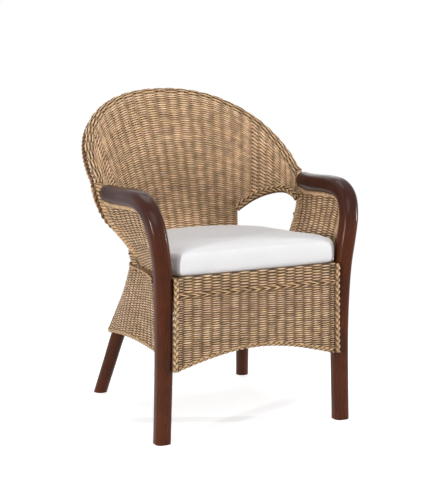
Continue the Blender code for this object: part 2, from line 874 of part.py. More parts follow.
def deck_outline():
    """The seat deck inside the seat hoop, notched round the front legs."""
    inset = -(SEAT_HOOP_RADIUS + CLEARANCE)
    low, high = front_rail_box()
    behind_leg = LEG_BACK_Y + 2 * CLEARANCE
    points = [(high.x, low.y), (high.x, behind_leg)]
    first = share_of(SEAT_LINE, 1, behind_leg)
    for share in np.linspace(first, 0, DECK_STEPS):
        point = seat_point(share, inset)
        points.append((point.x, point.y))
    return points + [(-x, y) for x, y in reversed(points[:-1])]


def seat_deck():
    curve = bpy.data.curves.new("seat_deck", "CURVE")
    curve.dimensions = "2D"
    curve.fill_mode = "BOTH"
    curve.extrude = DECK_THICKNESS / 2
    points = deck_outline()
    spline = curve.splines.new("POLY")
    spline.points.add(len(points) - 1)
    for knot, point in zip(spline.points, points):
        knot.co = (*point, 0.0, 1.0)
    spline.use_cyclic_u = True
    obj = place("seat_deck", curve, "weave")
    tilt_with_seat(obj, -DECK_THICKNESS / 2)
    return obj


def slat(index):
    """A slat from the front rail to the rear of the seat hoop, under the deck."""
    x = (index - (SLAT_COUNT - 1) / 2) * SLAT_SPACING
    near = front_rail_box()[1].y + CLEARANCE
    shares = np.linspace(0, POST_SHARE, DENSE_COUNT // 4)
    inner = [seat_point(share, -SEAT_HOOP_RADIUS - CLEARANCE) for share in shares]
    edge = abs(x) + SLAT_WIDTH / 2
    far = float(np.interp(edge, [point.x for point in inner], [point.y for point in inner]))
    low = (x - SLAT_WIDTH / 2, near, 0.0)
    high = (x + SLAT_WIDTH / 2, far, SLAT_THICKNESS)
    obj = box(f"seat_slat_{index + 1}", low, high, "wood", SLAT_EDGE)
    middle_y = obj.location.y
    top = seat_z(middle_y) - DECK_THICKNESS - CLEARANCE
    obj.location.z = top - SLAT_THICKNESS / 2
    obj.rotation_euler = (-math.atan(SEAT_SLOPE), 0, 0)
    return obj


# Poles of the back


def arm_pin_ends(side):
    """Where a pin starts in the arm's end and where it ends in the back hoop."""
    z = ARM_LINE[-1][2]
    hoop = post_at(z)
    start = hoop - Vector((0, ARM_PIN_LENGTH, 0))
    return tuple(Vector((side * point.x, point.y, point.z)) for point in (start, hoop))


def mirrored(points):
    return [Vector((-point.x, point.y, point.z)) for point in points]


def rod_with_posts(rim_points, post_points):
    """A line from the left seat up the post, round the rim and down to the right seat."""
    return list(reversed(mirrored(post_points))) + rim_points + post_points


def back_hoop_line():
    rim = [rim_frame(share)[0] for share in np.linspace(-1, 1, RIM_STEPS + 1)]
    return rod_with_posts(rim, [Vector(point) for point in POST_LINE if point[2] < RIM_JOIN_Z])


def back_hoop(cutters):
    obj = as_mesh(tube("back_hoop", back_hoop_line(), BACK_HOOP_RADIUS, "pole"))
    cut(obj, *cutters)
    smooth(obj)
    return obj


def rim_braid():
    """The braid behind the rim and along the outer side of the front posts."""
    reach = BACK_HOOP_RADIUS + RIM_BRAID_RADIUS + CLEARANCE
    rim = []
    for share in np.linspace(-1, 1, RIM_STEPS + 1):
        centre, outward, upward = rim_frame(share)
        away = outward * math.cos(RIM_BRAID_DROP) - upward * math.sin(RIM_BRAID_DROP)
        rim.append(centre + reach * away)
    post = []
    for index in range(1, len(POST_LINE) - 1):
        ahead = Vector(POST_LINE[index + 1] - POST_LINE[index - 1]).normalized()
        turned = (RIM_JOIN_Z - POST_LINE[index][2]) / (RIM_JOIN_Z - RIM_BRAID_END_Z) * math.pi / 2
        outward = Vector((math.cos(turned), math.sin(turned), 0))
        outward -= ahead * ahead.dot(outward)
        if RIM_BRAID_END_Z < POST_LINE[index][2] < RIM_JOIN_Z:
            post.append(Vector(POST_LINE[index]) + reach * outward.normalized())
    return tube("rim_braid", rod_with_posts(rim, post), RIM_BRAID_RADIUS, "braid")


def back_post(side, name):
    """A pole behind the woven back, from the seat hoop up to just under the rim's braid."""
    share = side * BACK_POST_SHARE
    offset = WALL_THICKNESS / 2 + 2 * CLEARANCE + BACK_POST_RADIUS
    points = []
    for height in np.linspace(BACK_POST_FOOT_SHARE, BACK_POST_TOP_SHARE, BACK_POST_STEPS + 1):
        here = back_wall(share, height)
        slope = back_wall(share, height + 1 / DENSE_COUNT) - here
        slope.normalize()
        outward = seat_point(share * POST_SHARE, offset) - seat_point(share * POST_SHARE)
        outward -= slope * outward.dot(slope)
        points.append(here + outward.normalized() * offset)
    return tube(name, points, BACK_POST_RADIUS, "pole")


# Woven walls


def back_edge_share(height_share):
    """The share of the rim where the weave stops beside the post."""
    seat_length = lengths(SEAT_LINE)[-1] * POST_SHARE
    rim_length = lengths(RIM_LINE)[-1]
    gap = BACK_HOOP_RADIUS * BACK_EDGE_GAP_SHARE
    return 1 - gap / (seat_length + (rim_length - seat_length) * height_share)


def back_share(column, edge_share):
    """The share of the rim at a column of the back, even over the neck and over each window."""
    half_neck = BACK_COLUMNS_NECK / 2
    across = column - BACK_COLUMNS_WINDOW - half_neck
    if abs(across) <= half_neck:
        return NECK_SHARE * across / half_neck
    beyond = (abs(across) - half_neck) / BACK_COLUMNS_WINDOW
    return math.copysign(NECK_SHARE + (edge_share - NECK_SHARE) * beyond, across)


def back_rib(column, row):
    """How far the weave bulges inward at a place: over every other column, away from its edges."""
    into_neck = min(column, 2 * BACK_COLUMNS_WINDOW + BACK_COLUMNS_NECK - column) - BACK_COLUMNS_WINDOW
    first_row = 2 if into_neck > 1 else BACK_ROWS_BELOW + 4
    if into_neck % 2 == 0 or not first_row <= row <= BACK_ROWS_BELOW + BACK_ROWS_ABOVE:
        return 0.0
    return RIB_HEIGHT


def back_point(column, row):
    if row == 0:
        point = back_wall(back_share(column, back_edge_share(0)), 0.0)
        point.z += 2 * CLEARANCE
        return point
    rib = back_rib(column, row)
    row -= 1
    if row <= BACK_ROWS_BELOW:
        rise = row / BACK_ROWS_BELOW
        share = back_share(column, back_edge_share(ARCH_LINE[-1][1] * rise))
        band = band_share(share)
        return back_wall(share, band + (arch_share(share) - band) * rise) - rim_frame(share)[1] * rib
    row -= BACK_ROWS_BELOW
    if row <= BACK_ROWS_ABOVE:
        rise = row / BACK_ROWS_ABOVE
        share = back_share(column, back_edge_share(ARCH_LINE[-1][1] + (1 - ARCH_LINE[-1][1]) * rise))
        arch = arch_share(share)
        return back_wall(share, arch + (1 - arch) * rise) - rim_frame(share)[1] * rib
    share = back_share(column, back_edge_share(1))
    return back_roll(share, ROLL_SWEEP * (row - BACK_ROWS_ABOVE) / BACK_ROWS_ROLL)


def back_cell(column, row):
    left_window = column < BACK_COLUMNS_WINDOW
    right_window = column >= BACK_COLUMNS_WINDOW + BACK_COLUMNS_NECK
    return row == 0 or row > BACK_ROWS_BELOW or not (left_window or right_window)


def woven_back():
    columns = BACK_COLUMNS_NECK + 2 * BACK_COLUMNS_WINDOW
    rows = 1 + BACK_ROWS_BELOW + BACK_ROWS_ABOVE + BACK_ROWS_ROLL
    return grid("woven_back", columns, rows, back_point, back_cell, "weave")


def arch_braid(side, name):
    """The flat braid on the inner face of the back, along the arch of a window."""
    step = 1 / DENSE_COUNT

    def point_at(column, row):
        share = NECK_SHARE + (back_edge_share(ARCH_LINE[-1][1]) - NECK_SHARE) * column / ARCH_STEPS
        arch = arch_share(share)
        here = back_wall(share, arch)
        along = (back_wall(share + step, arch_share(share + step)) - here).normalized()
        up = (back_wall(share, arch + step) - here).normalized()
        outward = up.cross(along).normalized()
        rise = along.cross(outward).normalized()
        depth = (WALL_THICKNESS + ARCH_BRAID_THICKNESS) / 2 + 4 * CLEARANCE
        point = here - outward * depth + rise * (ARCH_BRAID_WIDTH * row / 2)
        point.x *= side
        return point

    obj = grid(name, ARCH_STEPS, 2, point_at, all_cells, "braid", ARCH_BRAID_THICKNESS)
    rounding = obj.modifiers.new("rounded_edges", "BEVEL")
    rounding.width = ARCH_BRAID_EDGE
    rounding.segments = 2
    return obj


def beside_post(z):
    """The point at a height that is just ahead of the right front post."""
    return post_at(z) - Vector((0, BACK_HOOP_RADIUS * PANEL_POST_SHARE + CLEARANCE, 0))


def line_under_arm(offset):
    """The line this far under the right arm, from the post forward and down the leg to the seat."""
    line = list(reversed(under_arm(offset)))
    line = [point for point in line if point.y < beside_post(point.z).y or point.z < PANEL_CORNER_Z]
    kept = [point for point in line if point.z > seat_z(point.y) + offset / 4]
    below = line[len(kept)]
    low = seat_z(below.y) + CLEARANCE * 2
    kept.append(kept[-1].lerp(below, (kept[-1].z - low) / (kept[-1].z - below.z)))
    return np.array([point[:] for point in kept])


def arm_panel(side, name):
    """A panel that fills the four sides between post, arm, leg and seat."""
    edge = line_under_arm(2 * PANEL_BRAID_RADIUS + 11 * CLEARANCE)
    corner = share_of(edge, 2, PANEL_CORNER_Z)
    foot_y = beside_post(seat_z(POST_FOOT_Y)).y

    def head(along):
        return Vector(at_share(edge, corner * along))

    def front(up):
        return Vector(at_share(edge, 1 - (1 - corner) * up))

    def foot(along):
        point = seat_point(share_of(SEAT_LINE, 1, foot_y + (edge[-1][1] - foot_y) * along))
        point.z += 2 * CLEARANCE
        return point

    def rear(up):
        low, high = foot(0), head(0)
        point = beside_post(low.z + (high.z - low.z) * up)
        return point + (low - beside_post(low.z)) * (1 - up) + (high - beside_post(high.z)) * up

    def point_at(column, row):
        along, up = column / PANEL_COLUMNS, row / PANEL_ROWS
        point = rear(up) * (1 - along) + front(up) * along
        point += foot(along) * (1 - up) + head(along) * up
        point -= foot(0) * (1 - along) * (1 - up) + foot(1) * along * (1 - up)
        point -= head(0) * (1 - along) * up + head(1) * along * up
        point.x *= side
        return point

    return grid(name, PANEL_COLUMNS, PANEL_ROWS, point_at, all_cells, "weave")


def panel_braid(side, name):
    """The cord under the arm and down the back of the front leg."""
    line = [Vector(point) for point in line_under_arm(PANEL_BRAID_RADIUS + 4 * CLEARANCE)]
    if side < 0:
        line = mirrored(line)
    return tube(name, line, PANEL_BRAID_RADIUS, "braid")


def skirt():
    def point_at(column, row):
        share = 2 * column / HEM_STEPS - 1
        point = skirt_wall(share, row / SKIRT_ROWS)
        if column % 2 and 0 < row < SKIRT_ROWS:
            point += seat_point(share, RIB_HEIGHT) - seat_point(share)
        return point

    return grid("woven_skirt", HEM_STEPS, SKIRT_ROWS, point_at, all_cells, "weave")


def seat_braid():
    """The braid on the skirt's upper edge, round the outside of the seat hoop."""
    rise = SEAT_BRAID_RADIUS + CLEARANCE
    outward = math.sqrt((SEAT_HOOP_RADIUS + SEAT_BRAID_RADIUS + 2 * CLEARANCE) ** 2 - rise**2)
    points = []
    for share in np.linspace(-1, 1, SEAT_HOOP_STEPS + 1):
        point = seat_point(share, outward)
        point.z += rise - SEAT_HOOP_RADIUS
        points.append(point)
    return tube("seat_braid", points, SEAT_BRAID_RADIUS, "braid")


def skirt_hem_braid():
    points = []
    for share in np.linspace(-1, 1, HEM_STEPS + 1):
        point = hem_point(share, HEM_BRAID_RADIUS)
        point.z -= HEM_BRAID_RADIUS + 2 * CLEARANCE
        points.append(point)
    return tube("skirt_hem_braid", points, HEM_BRAID_RADIUS, "braid")


# Front panel


CORNER_BRAID_Y = FRONT_FACE_Y + WALL_THICKNESS - CORNER_BRAID_RADIUS


def corner_braid_x(z):
    """Where the right corner braid touches the rounded corner of the leg at a height."""
    x, y, half = leg_at(z)
    round_x = x - half + WOOD_CORNER_RADIUS
    round_y = y - half + WOOD_CORNER_RADIUS
    reach = WOOD_CORNER_RADIUS + CORNER_BRAID_RADIUS + 2 * CLEARANCE
    return round_x - math.sqrt(reach**2 - (round_y - CORNER_BRAID_Y) ** 2)


def front_half_width(z):
    return corner_braid_x(z) - CORNER_BRAID_RADIUS - 2 * CLEARANCE


def front_hem_z(across):
    """The hem's height over the share of the way across, from -1 at the left to 1."""
    rise_share = math.cos(across * math.pi / 2)
    return FRONT_HEM_CORNER_Z + (FRONT_HEM_PEAK_Z - FRONT_HEM_CORNER_Z) * rise_share


def front_panel():
    def point_at(column, row):
        across = 2 * column / FRONT_COLUMNS - 1
        low = front_hem_z(across)
        z = low + (SEAT_FRONT_Z - low) * row / FRONT_ROWS
        return Vector((across * front_half_width(z), FRONT_FACE_Y + WALL_THICKNESS / 2, z))

    return grid("front_panel", FRONT_COLUMNS, FRONT_ROWS, point_at, all_cells, "weave")


def corner_braid(side, name):
    low = FRONT_HEM_CORNER_Z - 2 * HEM_BRAID_RADIUS
    points = []
    for z in np.linspace(low, SEAT_FRONT_Z, CORNER_BRAID_STEPS + 1):
        points.append(Vector((side * corner_braid_x(z), CORNER_BRAID_Y, z)))
    return tube(name, points, CORNER_BRAID_RADIUS, "braid")


def front_hem_braid():
    y = FRONT_FACE_Y + WALL_THICKNESS / 2
    half = front_half_width(FRONT_HEM_CORNER_Z) - HEM_BRAID_RADIUS * HEM_END_SHARE
    points = []
    for across in np.linspace(-1, 1, FRONT_COLUMNS + 1):
        z = front_hem_z(across) - HEM_BRAID_RADIUS - 2 * CLEARANCE
        points.append(Vector((half * across, y, z)))
    return tube("front_hem_braid", points, HEM_BRAID_RADIUS, "braid")


def waling():
    """The twined row across the front panel."""
    y = FRONT_FACE_Y - WALING_RADIUS - CLEARANCE
    z = SEAT_FRONT_Z - WALING_DROP
    half = front_half_width(z) - CLEARANCE
    return tube("waling", [Vector((x, y, z)) for x in (-half, 0.0, half)], WALING_RADIUS, "braid")


# Cushion


def cushion_outline(inset, rise):
    """The cushion's plan, drawn in by this much, from the middle of the rear by the left.

    The sides lean outward with the walls, so the plan grows with the rise, a share of the height.
    """
    gap = WALL_THICKNESS / 2 + CUSHION_SIDE_GAP + inset
    half = []
    behind_leg = share_of(SEAT_LINE, 1, LEG_BACK_Y + CUSHION_LEG_GAP + inset)
    for share in np.linspace(0, behind_leg, CUSHION_SIDE_STEPS):
        flare = CUSHION_FLARE * rise * (1 - (1 - CUSHION_FLARE_SHARE) * share**4)
        point = seat_point(share, flare - gap)
        half.append((point.x, point.y))
    side_x = CUSHION_FRONT_HALF_WIDTH - inset
    front_y = CUSHION_FRONT_Y + inset
    radius = max(CUSHION_CORNER_RADIUS - inset, CUSHION_CORNER_RADIUS / 4)
    for turn in np.linspace(0, math.pi / 2, CUSHION_CORNER_STEPS):
        x = side_x - radius + radius * math.cos(turn)
        y = front_y + radius - radius * math.sin(turn)
        half.append((x, y))
    for share in np.linspace(0, 1, CUSHION_FRONT_STEPS + 1)[1:]:
        half.append(((side_x - radius) * (1 - share), front_y))
    return half + [(-x, y) for x, y in reversed(half[1:-1])]


def cushion_form(name, shrink, finish=None):
    """A box cushion with soft edges, drawn-in sides and a crowned top."""
    rings = [(CUSHION_EDGE_RADIUS * 2, shrink)]
    inner_height = CUSHION_HEIGHT - 2 * shrink
    for turn in np.linspace(-math.pi / 2, math.pi / 2, CUSHION_EDGE_STEPS):
        inset = CUSHION_EDGE_RADIUS * (1 - math.cos(turn) ** CUSHION_EDGE_POWER)
        rise = math.copysign(abs(math.sin(turn)) ** CUSHION_EDGE_POWER, turn)
        height = inner_height * (1 + rise) / 2
        rings.append((inset, shrink + height))
    for inset_share, crown_share in CUSHION_CROWN_SHARES:
        inset = CUSHION_EDGE_RADIUS + inset_share * CUSHION_CROWN_WIDTH
        rings.append((inset, CUSHION_HEIGHT - shrink + CUSHION_CROWN * crown_share))
    bm = bmesh.new()
    loops = []
    for inset, height in rings:
        rise = height / CUSHION_HEIGHT
        loops.append([bm.verts.new((x, y, height)) for x, y in cushion_outline(inset + shrink, rise)])
    for lower, upper in zip(loops, loops[1:]):
        for index in range(len(lower)):
            after = (index + 1) % len(lower)
            bm.faces.new((lower[index], upper[index], upper[after], lower[after]))
    bm.faces.new(loops[0])
    bm.faces.new(reversed(loops[-1]))
    bmesh.ops.recalc_face_normals(bm, faces=bm.faces)
    bmesh.ops.triangulate(bm, faces=bm.faces, quad_method="FIXED")
    mesh = bpy.data.meshes.new(name)
    bm.to_mesh(mesh)
    bm.free()
    obj = place(name, mesh, finish)
    tilt_with_seat(obj, CLEARANCE)
    if finish:
        smooth(obj)
    return obj


def zip_box(name, gap):
    """The slot in the rear of the cover, smaller by this gap on each side."""
    half = ZIP_LENGTH / 2 - gap
    middle = CUSHION_HEIGHT / 2
    low = (-half, 0.0, middle - ZIP_HEIGHT / 2 + gap)
    high = (half, SEAT_REAR_DEPTH, middle + ZIP_HEIGHT / 2 - gap)
    obj = box(name, low, high)
    centre = Vector(obj.location)
    tilt = -math.atan(SEAT_SLOPE)
    obj.rotation_euler = (tilt, 0, 0)
    centre.rotate(obj.rotation_euler)
    obj.location = centre + Vector((0, 0, seat_z(0) + CLEARANCE))
    return obj


def cushion():
    """The foam, its cover with a slot in the rear, and the zip that closes the slot."""
    inside = cushion_form("cover_inside", COVER_THICKNESS)
    cover = cushion_form("cushion_cover", 0.0, "cloth")
    cut(cover, inside, zip_box("zip_slot", 0.0))
    cushion_form("cushion_foam", COVER_THICKNESS + CLEARANCE, "foam")
    closure = cushion_form("cushion_zip", 0.0, "steel")
    cut(closure, inside)
    keep = closure.modifiers.new("keep_strip", "BOOLEAN")
    keep.operation = "INTERSECT"
    keep.object = zip_box("zip_strip", CLEARANCE)


# Build

SIDES = ((-1, "left"), (1, "right"))


def centre_on_origin():
    """Moves the whole chair so that the origin lies under the middle of its bounding box."""
    bpy.context.view_layer.update()
    depsgraph = bpy.context.evaluated_depsgraph_get()
    reach = []
    for obj in CHAIR.objects:
        evaluated = obj.evaluated_get(depsgraph)
        mesh = evaluated.to_mesh()
        reach.extend((evaluated.matrix_world @ vert.co).y for vert in mesh.vertices)
        evaluated.to_mesh_clear()
    for obj in [*CHAIR.objects, *CUTTERS.objects]:
        obj.location.y -= (min(reach) + max(reach)) / 2


def build():
    section = rounded_square("wood_section")
    floor = floor_cutter()
    hoop_cutters = []
    seat_saddle = as_mesh(tube("seat_saddle", seat_hoop_line(), SEAT_HOOP_RADIUS + CLEARANCE, None))
    back_saddle = as_mesh(tube("back_saddle", back_hoop_line(), BACK_HOOP_RADIUS + CLEARANCE, None))
    rim = [rim_frame(share)[0] for share in np.linspace(-1, 1, RIM_STEPS + 1)]
    roll_reach = ROLL_RADIUS + WALL_THICKNESS / 2 + 2 * CLEARANCE
    roll_saddle = as_mesh(tube("roll_saddle", rim, roll_reach, None, 16))
    rail_cutters = []
    back_hoop_cutters = [seat_saddle]
    for side, word in SIDES:
        leg_cutters = [floor, back_saddle, roll_saddle]
        for index in range(2):
            start, end = rail_dowel_ends(side, index)
            name = f"rail_dowel_{word}_{index + 1}"
            cylinder(name, start, end, DOWEL_RADIUS, "pole", sides=12)
            hole = drill("hole_" + name, start, end, DOWEL_RADIUS)
            leg_cutters.append(hole)
            rail_cutters.append(hole)
        start, end = hoop_dowel_ends(side)
        name = f"hoop_dowel_{word}"
        cylinder(name, start, end, DOWEL_RADIUS, "pole", sides=12)
        hole = drill("hole_" + name, start, end, DOWEL_RADIUS)
        leg_cutters.append(hole)
        hoop_cutters.append(hole)
        start, end = arm_pin_ends(side)
        name = f"arm_pin_{word}"
        cylinder(name, start, end, ARM_PIN_RADIUS, "steel", sides=12)
        hole = drill("hole_" + name, start, end, ARM_PIN_RADIUS)
        leg_cutters.append(hole)
        back_hoop_cutters.append(hole)
        arm_and_leg(side, f"arm_and_leg_{word}", section, leg_cutters)
        bolt_name = f"rear_leg_bolt_{word}"
        bolt(bolt_name, *bolt_ends(side))
        bolt_hole, recess = bolt_cutters(side, bolt_name)
        hoop_cutters.append(bolt_hole)
        rear_leg(side, f"rear_leg_{word}", [floor, seat_saddle, bolt_hole, recess])
        back_post(side, f"back_post_{word}")
        arch_braid(side, f"arch_braid_{word}")
        arm_panel(side, f"arm_panel_{word}")
        panel_braid(side, f"panel_braid_{word}")
        corner_braid(side, f"corner_braid_{word}")
    front_rail(rail_cutters)
    seat_hoop(hoop_cutters)
    back_hoop(back_hoop_cutters)
    for index in range(SLAT_COUNT):
        slat(index)
    seat_deck()
    woven_back()
    rim_braid()
    skirt()
    seat_braid()
    skirt_hem_braid()
    front_panel()
    front_hem_braid()
    waling()
    cushion()
    centre_on_origin()


build()
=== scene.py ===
"""Looks of the woven rattan armchair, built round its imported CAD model.

Metres, +Z up. The chair faces -Y and stands on the floor at z = 0. Left is -X.
"""

import math

import bmesh
import bpy
import numpy as np
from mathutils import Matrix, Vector


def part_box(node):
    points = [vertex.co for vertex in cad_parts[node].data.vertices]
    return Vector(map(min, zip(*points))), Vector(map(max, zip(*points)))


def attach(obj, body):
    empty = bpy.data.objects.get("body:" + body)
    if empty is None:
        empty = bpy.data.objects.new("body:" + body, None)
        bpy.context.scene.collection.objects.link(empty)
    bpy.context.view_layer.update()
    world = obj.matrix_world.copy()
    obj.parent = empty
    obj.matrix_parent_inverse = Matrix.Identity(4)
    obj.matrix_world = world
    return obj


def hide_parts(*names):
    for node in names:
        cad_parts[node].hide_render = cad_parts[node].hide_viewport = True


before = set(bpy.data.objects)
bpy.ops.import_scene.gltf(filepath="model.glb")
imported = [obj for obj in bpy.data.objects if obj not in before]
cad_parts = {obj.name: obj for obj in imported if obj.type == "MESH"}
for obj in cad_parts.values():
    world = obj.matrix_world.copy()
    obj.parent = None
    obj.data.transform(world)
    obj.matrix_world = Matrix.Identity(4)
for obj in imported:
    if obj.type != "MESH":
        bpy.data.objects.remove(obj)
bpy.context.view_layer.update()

# Seat line, as in the CAD model
SEAT_FRONT_Z = 0.420
SEAT_REAR_Z = 0.394
SEAT_HALF_WIDTH = 0.210
SEAT_CENTRE_Y = -0.030
SEAT_REAR_DEPTH = 0.202
SEAT_ROUND_POWER = 2.05
SEAT_FRONT_HALF_WIDTH = 0.2525
SEAT_SPREAD_POWER = 1.5
SEAT_HOOP_RADIUS = 0.0105

# Hem of the skirt
HEM_CORNER_OUT = 0.0415
HEM_CORNER_BACK = 0.0828
HEM_CORNER_RADIUS = 0.0225
HEM_SIDE_BOW = 0.008
HEM_FRONT_HALF_WIDTH = 0.250
HEM_FRONT_Z = 0.234
HEM_SIDE_PEAK_RISE = 0.006
HEM_CORNER_Z = 0.194
HEM_REAR_PEAK_Z = 0.224
HEM_BRAID_RADIUS = 0.0045
SEAT_BRAID_RADIUS = 0.0050

# Rim and front posts of the back
RIM_HALF_WIDTH = 0.288
RIM_CENTRE_Y = 0.0744
RIM_REAR_DEPTH = 0.2718
RIM_ROUND_POWER = 2.214
RIM_TOP_Z = 0.8138
RIM_END_Z = 0.618
RIM_JOIN_Z = 0.602
RIM_BRAID_END_Z = 0.500
RIM_BRAID_RADIUS = 0.0065
RIM_BRAID_DROP = math.radians(20)
ROLL_SWEEP = math.radians(150)
BACK_FLARE_SHARE = 0.10
BACK_EDGE_GAP_SHARE = 1.25
BACK_EDGE_SHARE = 0.985
BACK_POST_RADIUS = 0.007
BACK_POST_SHARE = 0.36
BACK_POST_HEIGHTS = (0.015, 0.93)
POST_FOOT_Y = -0.047
# Out and back from the foot, and down from the rim
POST_BEND_SHARES = (
    (1.00, 1.00, 0.000),
    (1.09, 0.77, 0.114),
    (0.98, 0.67, 0.275),
    (0.87, 0.55, 0.417),
    (0.67, 0.41, 0.559),
    (0.41, 0.27, 0.700),
    (0.17, 0.14, 0.844),
    (0.00, 0.00, 1.000),
)
BACK_HOOP_RADIUS = 0.0075

# Side windows
NECK_SHARE = 0.455
BAND_HEIGHT = 0.027
BAND_BULGE = 0.009
# How softly the band's upper edge fades, where that ends, and how far past the neck it grows
BAND_FADE_SHARE = 0.4
BAND_END_SHARE = 1.4
BAND_START_SHARE = 0.12
# From the neck to the post, and how high the window reaches in the back wall
WINDOW_ARCH_SHARES = (
    (0.00, 0.28),
    (0.10, 0.33),
    (0.24, 0.40),
    (0.40, 0.475),
    (0.52, 0.53),
    (0.65, 0.59),
    (0.80, 0.65),
    (0.90, 0.672),
    (0.96, 0.655),
    (1.00, 0.60),
)
ARCH_BRAID_WIDTH = 0.017
ARCH_BRAID_THICKNESS = 0.007
ARCH_END_HEIGHT = 0.6

# Arms with the front legs
WOOD_HALF_SIZE = 0.0215
WOOD_CORNER_RADIUS = 0.011
WOOD_ROUND_SHARE = 0.74
# The arm gets round all over from this far before its end, within this length
ARM_ROUND_START = 0.13
ARM_ROUND_FADE = 0.09
LEG_WAIST_X = 0.2485
ARM_TIP_INSET = 0.0072
LEG_FRONT_Y = -0.264
LEG_BACK_SHARE = 0.029
ARM_END_Y = 0.035
ARM_Z = 0.601
# Out, back, up and half thickness
ARM_PATH_SHARES = (
    (0.23, 0.027, -0.03, 0.96),
    (0.10, 0.027, 0.18, 0.97),
    (0.00, 0.027, 0.38, 1.00),
    (0.02, 0.023, 0.55, 1.02),
    (0.12, 0.008, 0.69, 1.02),
    (0.37, -0.006, 0.80, 1.02),
    (0.64, 0.006, 0.893, 1.04),
    (0.88, 0.083, 0.966, 1.08),
    (0.98, 0.224, 1.000, 1.10),
    (1.00, 0.417, 1.004, 1.07),
    (1.00, 0.626, 0.996, 1.05),
    (1.08, 0.810, 0.990, 1.08),
    (1.22, 0.930, 0.990, 1.05),
    (1.27, 0.978, 0.990, 0.80),
    (1.28, 1.003, 0.990, 0.50),
    (1.28, 1.020, 0.990, 0.28),
)

# Rear legs
REAR_LEG_SEAT_SHARE = 0.3155
REAR_LEG_TOP_INSET = 0.0083
REAR_FOOT_OUT = 0.0735
REAR_FOOT_BACK = 0.1494
REAR_FOOT_RADIUS = 0.0175
REAR_LEG_TOP_LEAN = math.radians(27)
REAR_LEG_SIDES = 28
DECK_THICKNESS = 0.006
# Out, back, up and radius
REAR_LEG_SHARES = (
    (1.048, 1.048, -0.052, 1.00),
    (0.805, 0.799, 0.216, 1.03),
    (0.563, 0.553, 0.480, 1.07),
    (0.207, 0.232, 0.780, 1.03),
    (0.000, 0.000, 1.000, 0.94),
)

# Front panel and arm panels
FRONT_FACE_Y = -0.281
FRONT_HEM_CORNER_Z = 0.195
FRONT_HEM_PEAK_Z = 0.235
WALING_DROP = 0.046
WALING_HALF_HEIGHT = 0.003
HEM_ROW_MARGIN = 0.003
FRONT_HEM_END_SHARE = 0.35
CORNER_BRAID_RADIUS = 0.0065
CORNER_BRAID_TURN = 0.15
PANEL_CORNER_Z = 0.530
PANEL_BRAID_RADIUS = 0.0045
PANEL_POST_SHARE = 1.30

# Cushion
CUSHION_HEIGHT = 0.062
CUSHION_CROWN = 0.010
CUSHION_FRONT_Y = -0.279
CUSHION_FRONT_HALF_WIDTH = 0.226
CUSHION_LEG_GAP = 0.012
CUSHION_CROWN_WIDTH = 0.090
CUSHION_FLARE = 0.018
CUSHION_FLARE_SHARE = 0.35
CUSHION_CROWN_SHARES = ((0.15, 0.30), (0.45, 0.70), (1.0, 1.0))
CUSHION_SIDE_GAP = 0.005
CUSHION_EDGE_RADIUS = 0.013
CUSHION_EDGE_POWER = 0.7
CUSHION_CORNER_RADIUS = 0.020
CUSHION_START_SHRINK = 0.002
CUSHION_START_RISE = 0.001
CUSHION_SWELL_CAP = 0.005
CUSHION_SINK = 0.0012
CUSHION_VOXEL = 0.005
CUSHION_PRESSURE = 4.0
CUSHION_STEPS = 20
# How far the cushion lies to the right, and how much more before this line and this length
CUSHION_SLIP = 0.001
CUSHION_FRONT_SLIP = 0.0035
CUSHION_SLIP_Y = -0.14
CUSHION_SLIP_FADE = 0.10
FOAM_SHRINK = 0.014

# Weave
WALL_THICKNESS = 0.006
BACK_STAKES = 30
BACK_ROW_PITCH = 0.00335
SKIRT_STAKES = 44
FRONT_STAKES = 17
FRONT_ROW_PITCH = 0.00285
FRONT_TOP_ROW_PITCH = 0.0035
PANEL_STAKES = 9
DECK_STAKES = 26
DECK_ROW_PITCH = 0.0055
DECK_FLATNESS = 0.62
DECK_STAKE_RADIUS = 0.0012
DECK_MARGIN = 0.002
DECK_LEG_MARGIN = 0.003
STRAND_SIDES = 6
CORD_SIDES = 8
POLE_SIDES = 16
SAMPLES_PER_STAKE = 8
STRAND_THICKNESS = 0.0031
FULL_THICKNESS_PITCH = 0.003
THICKNESS_SHARES = (0.7, 1.1)
WEAVE_DEPTH = 0.0020
STAKE_RADIUS = 0.0016
STAKE_APART_SHARE = 1.6
STAKE_WIDTH_SHARE = 1.5
STRAND_WIDTH_SHARE = 1.32
HUMP_SWELL_SHARE = 0.30
HUMP_SWELL_POWER = 1.5
# How sharply a strand turns between the front and the rear of the wall
CROSSING = 1.1
# How far rows wander together and alone, in rows, and how much widths vary
SWAY = 0.22
WOBBLE = 0.05
WIDTH_SPREAD = 0.04
SWAY_STAKES = 3
SWAY_ROWS = 7
EDGE_ROWS = 3
# Where the back narrows, every other pair of strands ends and the rest spread
DROP_PITCH_SHARE = 0.80
DROP_FADE_SHARE = 0.06
DROP_SPREAD = 0.72

# Plaits: width, thickness, length of one V, and radius of the rod inside, painted dark as shade
CORNER_PLAIT = (2 * CORNER_BRAID_RADIUS + 0.0015, 2 * CORNER_BRAID_RADIUS, 0.016, 0.0042)
HEM_PLAIT = (0.0125, 2 * HEM_BRAID_RADIUS, 0.015, 0.0034)
RIM_PLAIT = (2 * RIM_BRAID_RADIUS + 0.001, 2 * RIM_BRAID_RADIUS, 0.016, 0.0042)
PLAIT_STEPS = 7
PLAIT_STRAND_SHARE = 0.36
PLAIT_INSET_SHARE = 0.62
PLAIT_RISE_SHARE = 0.22
PLAIT_HALF_WIDTH_SHARE = 0.64
PLAIT_HALF_DEPTH_SHARE = 0.30

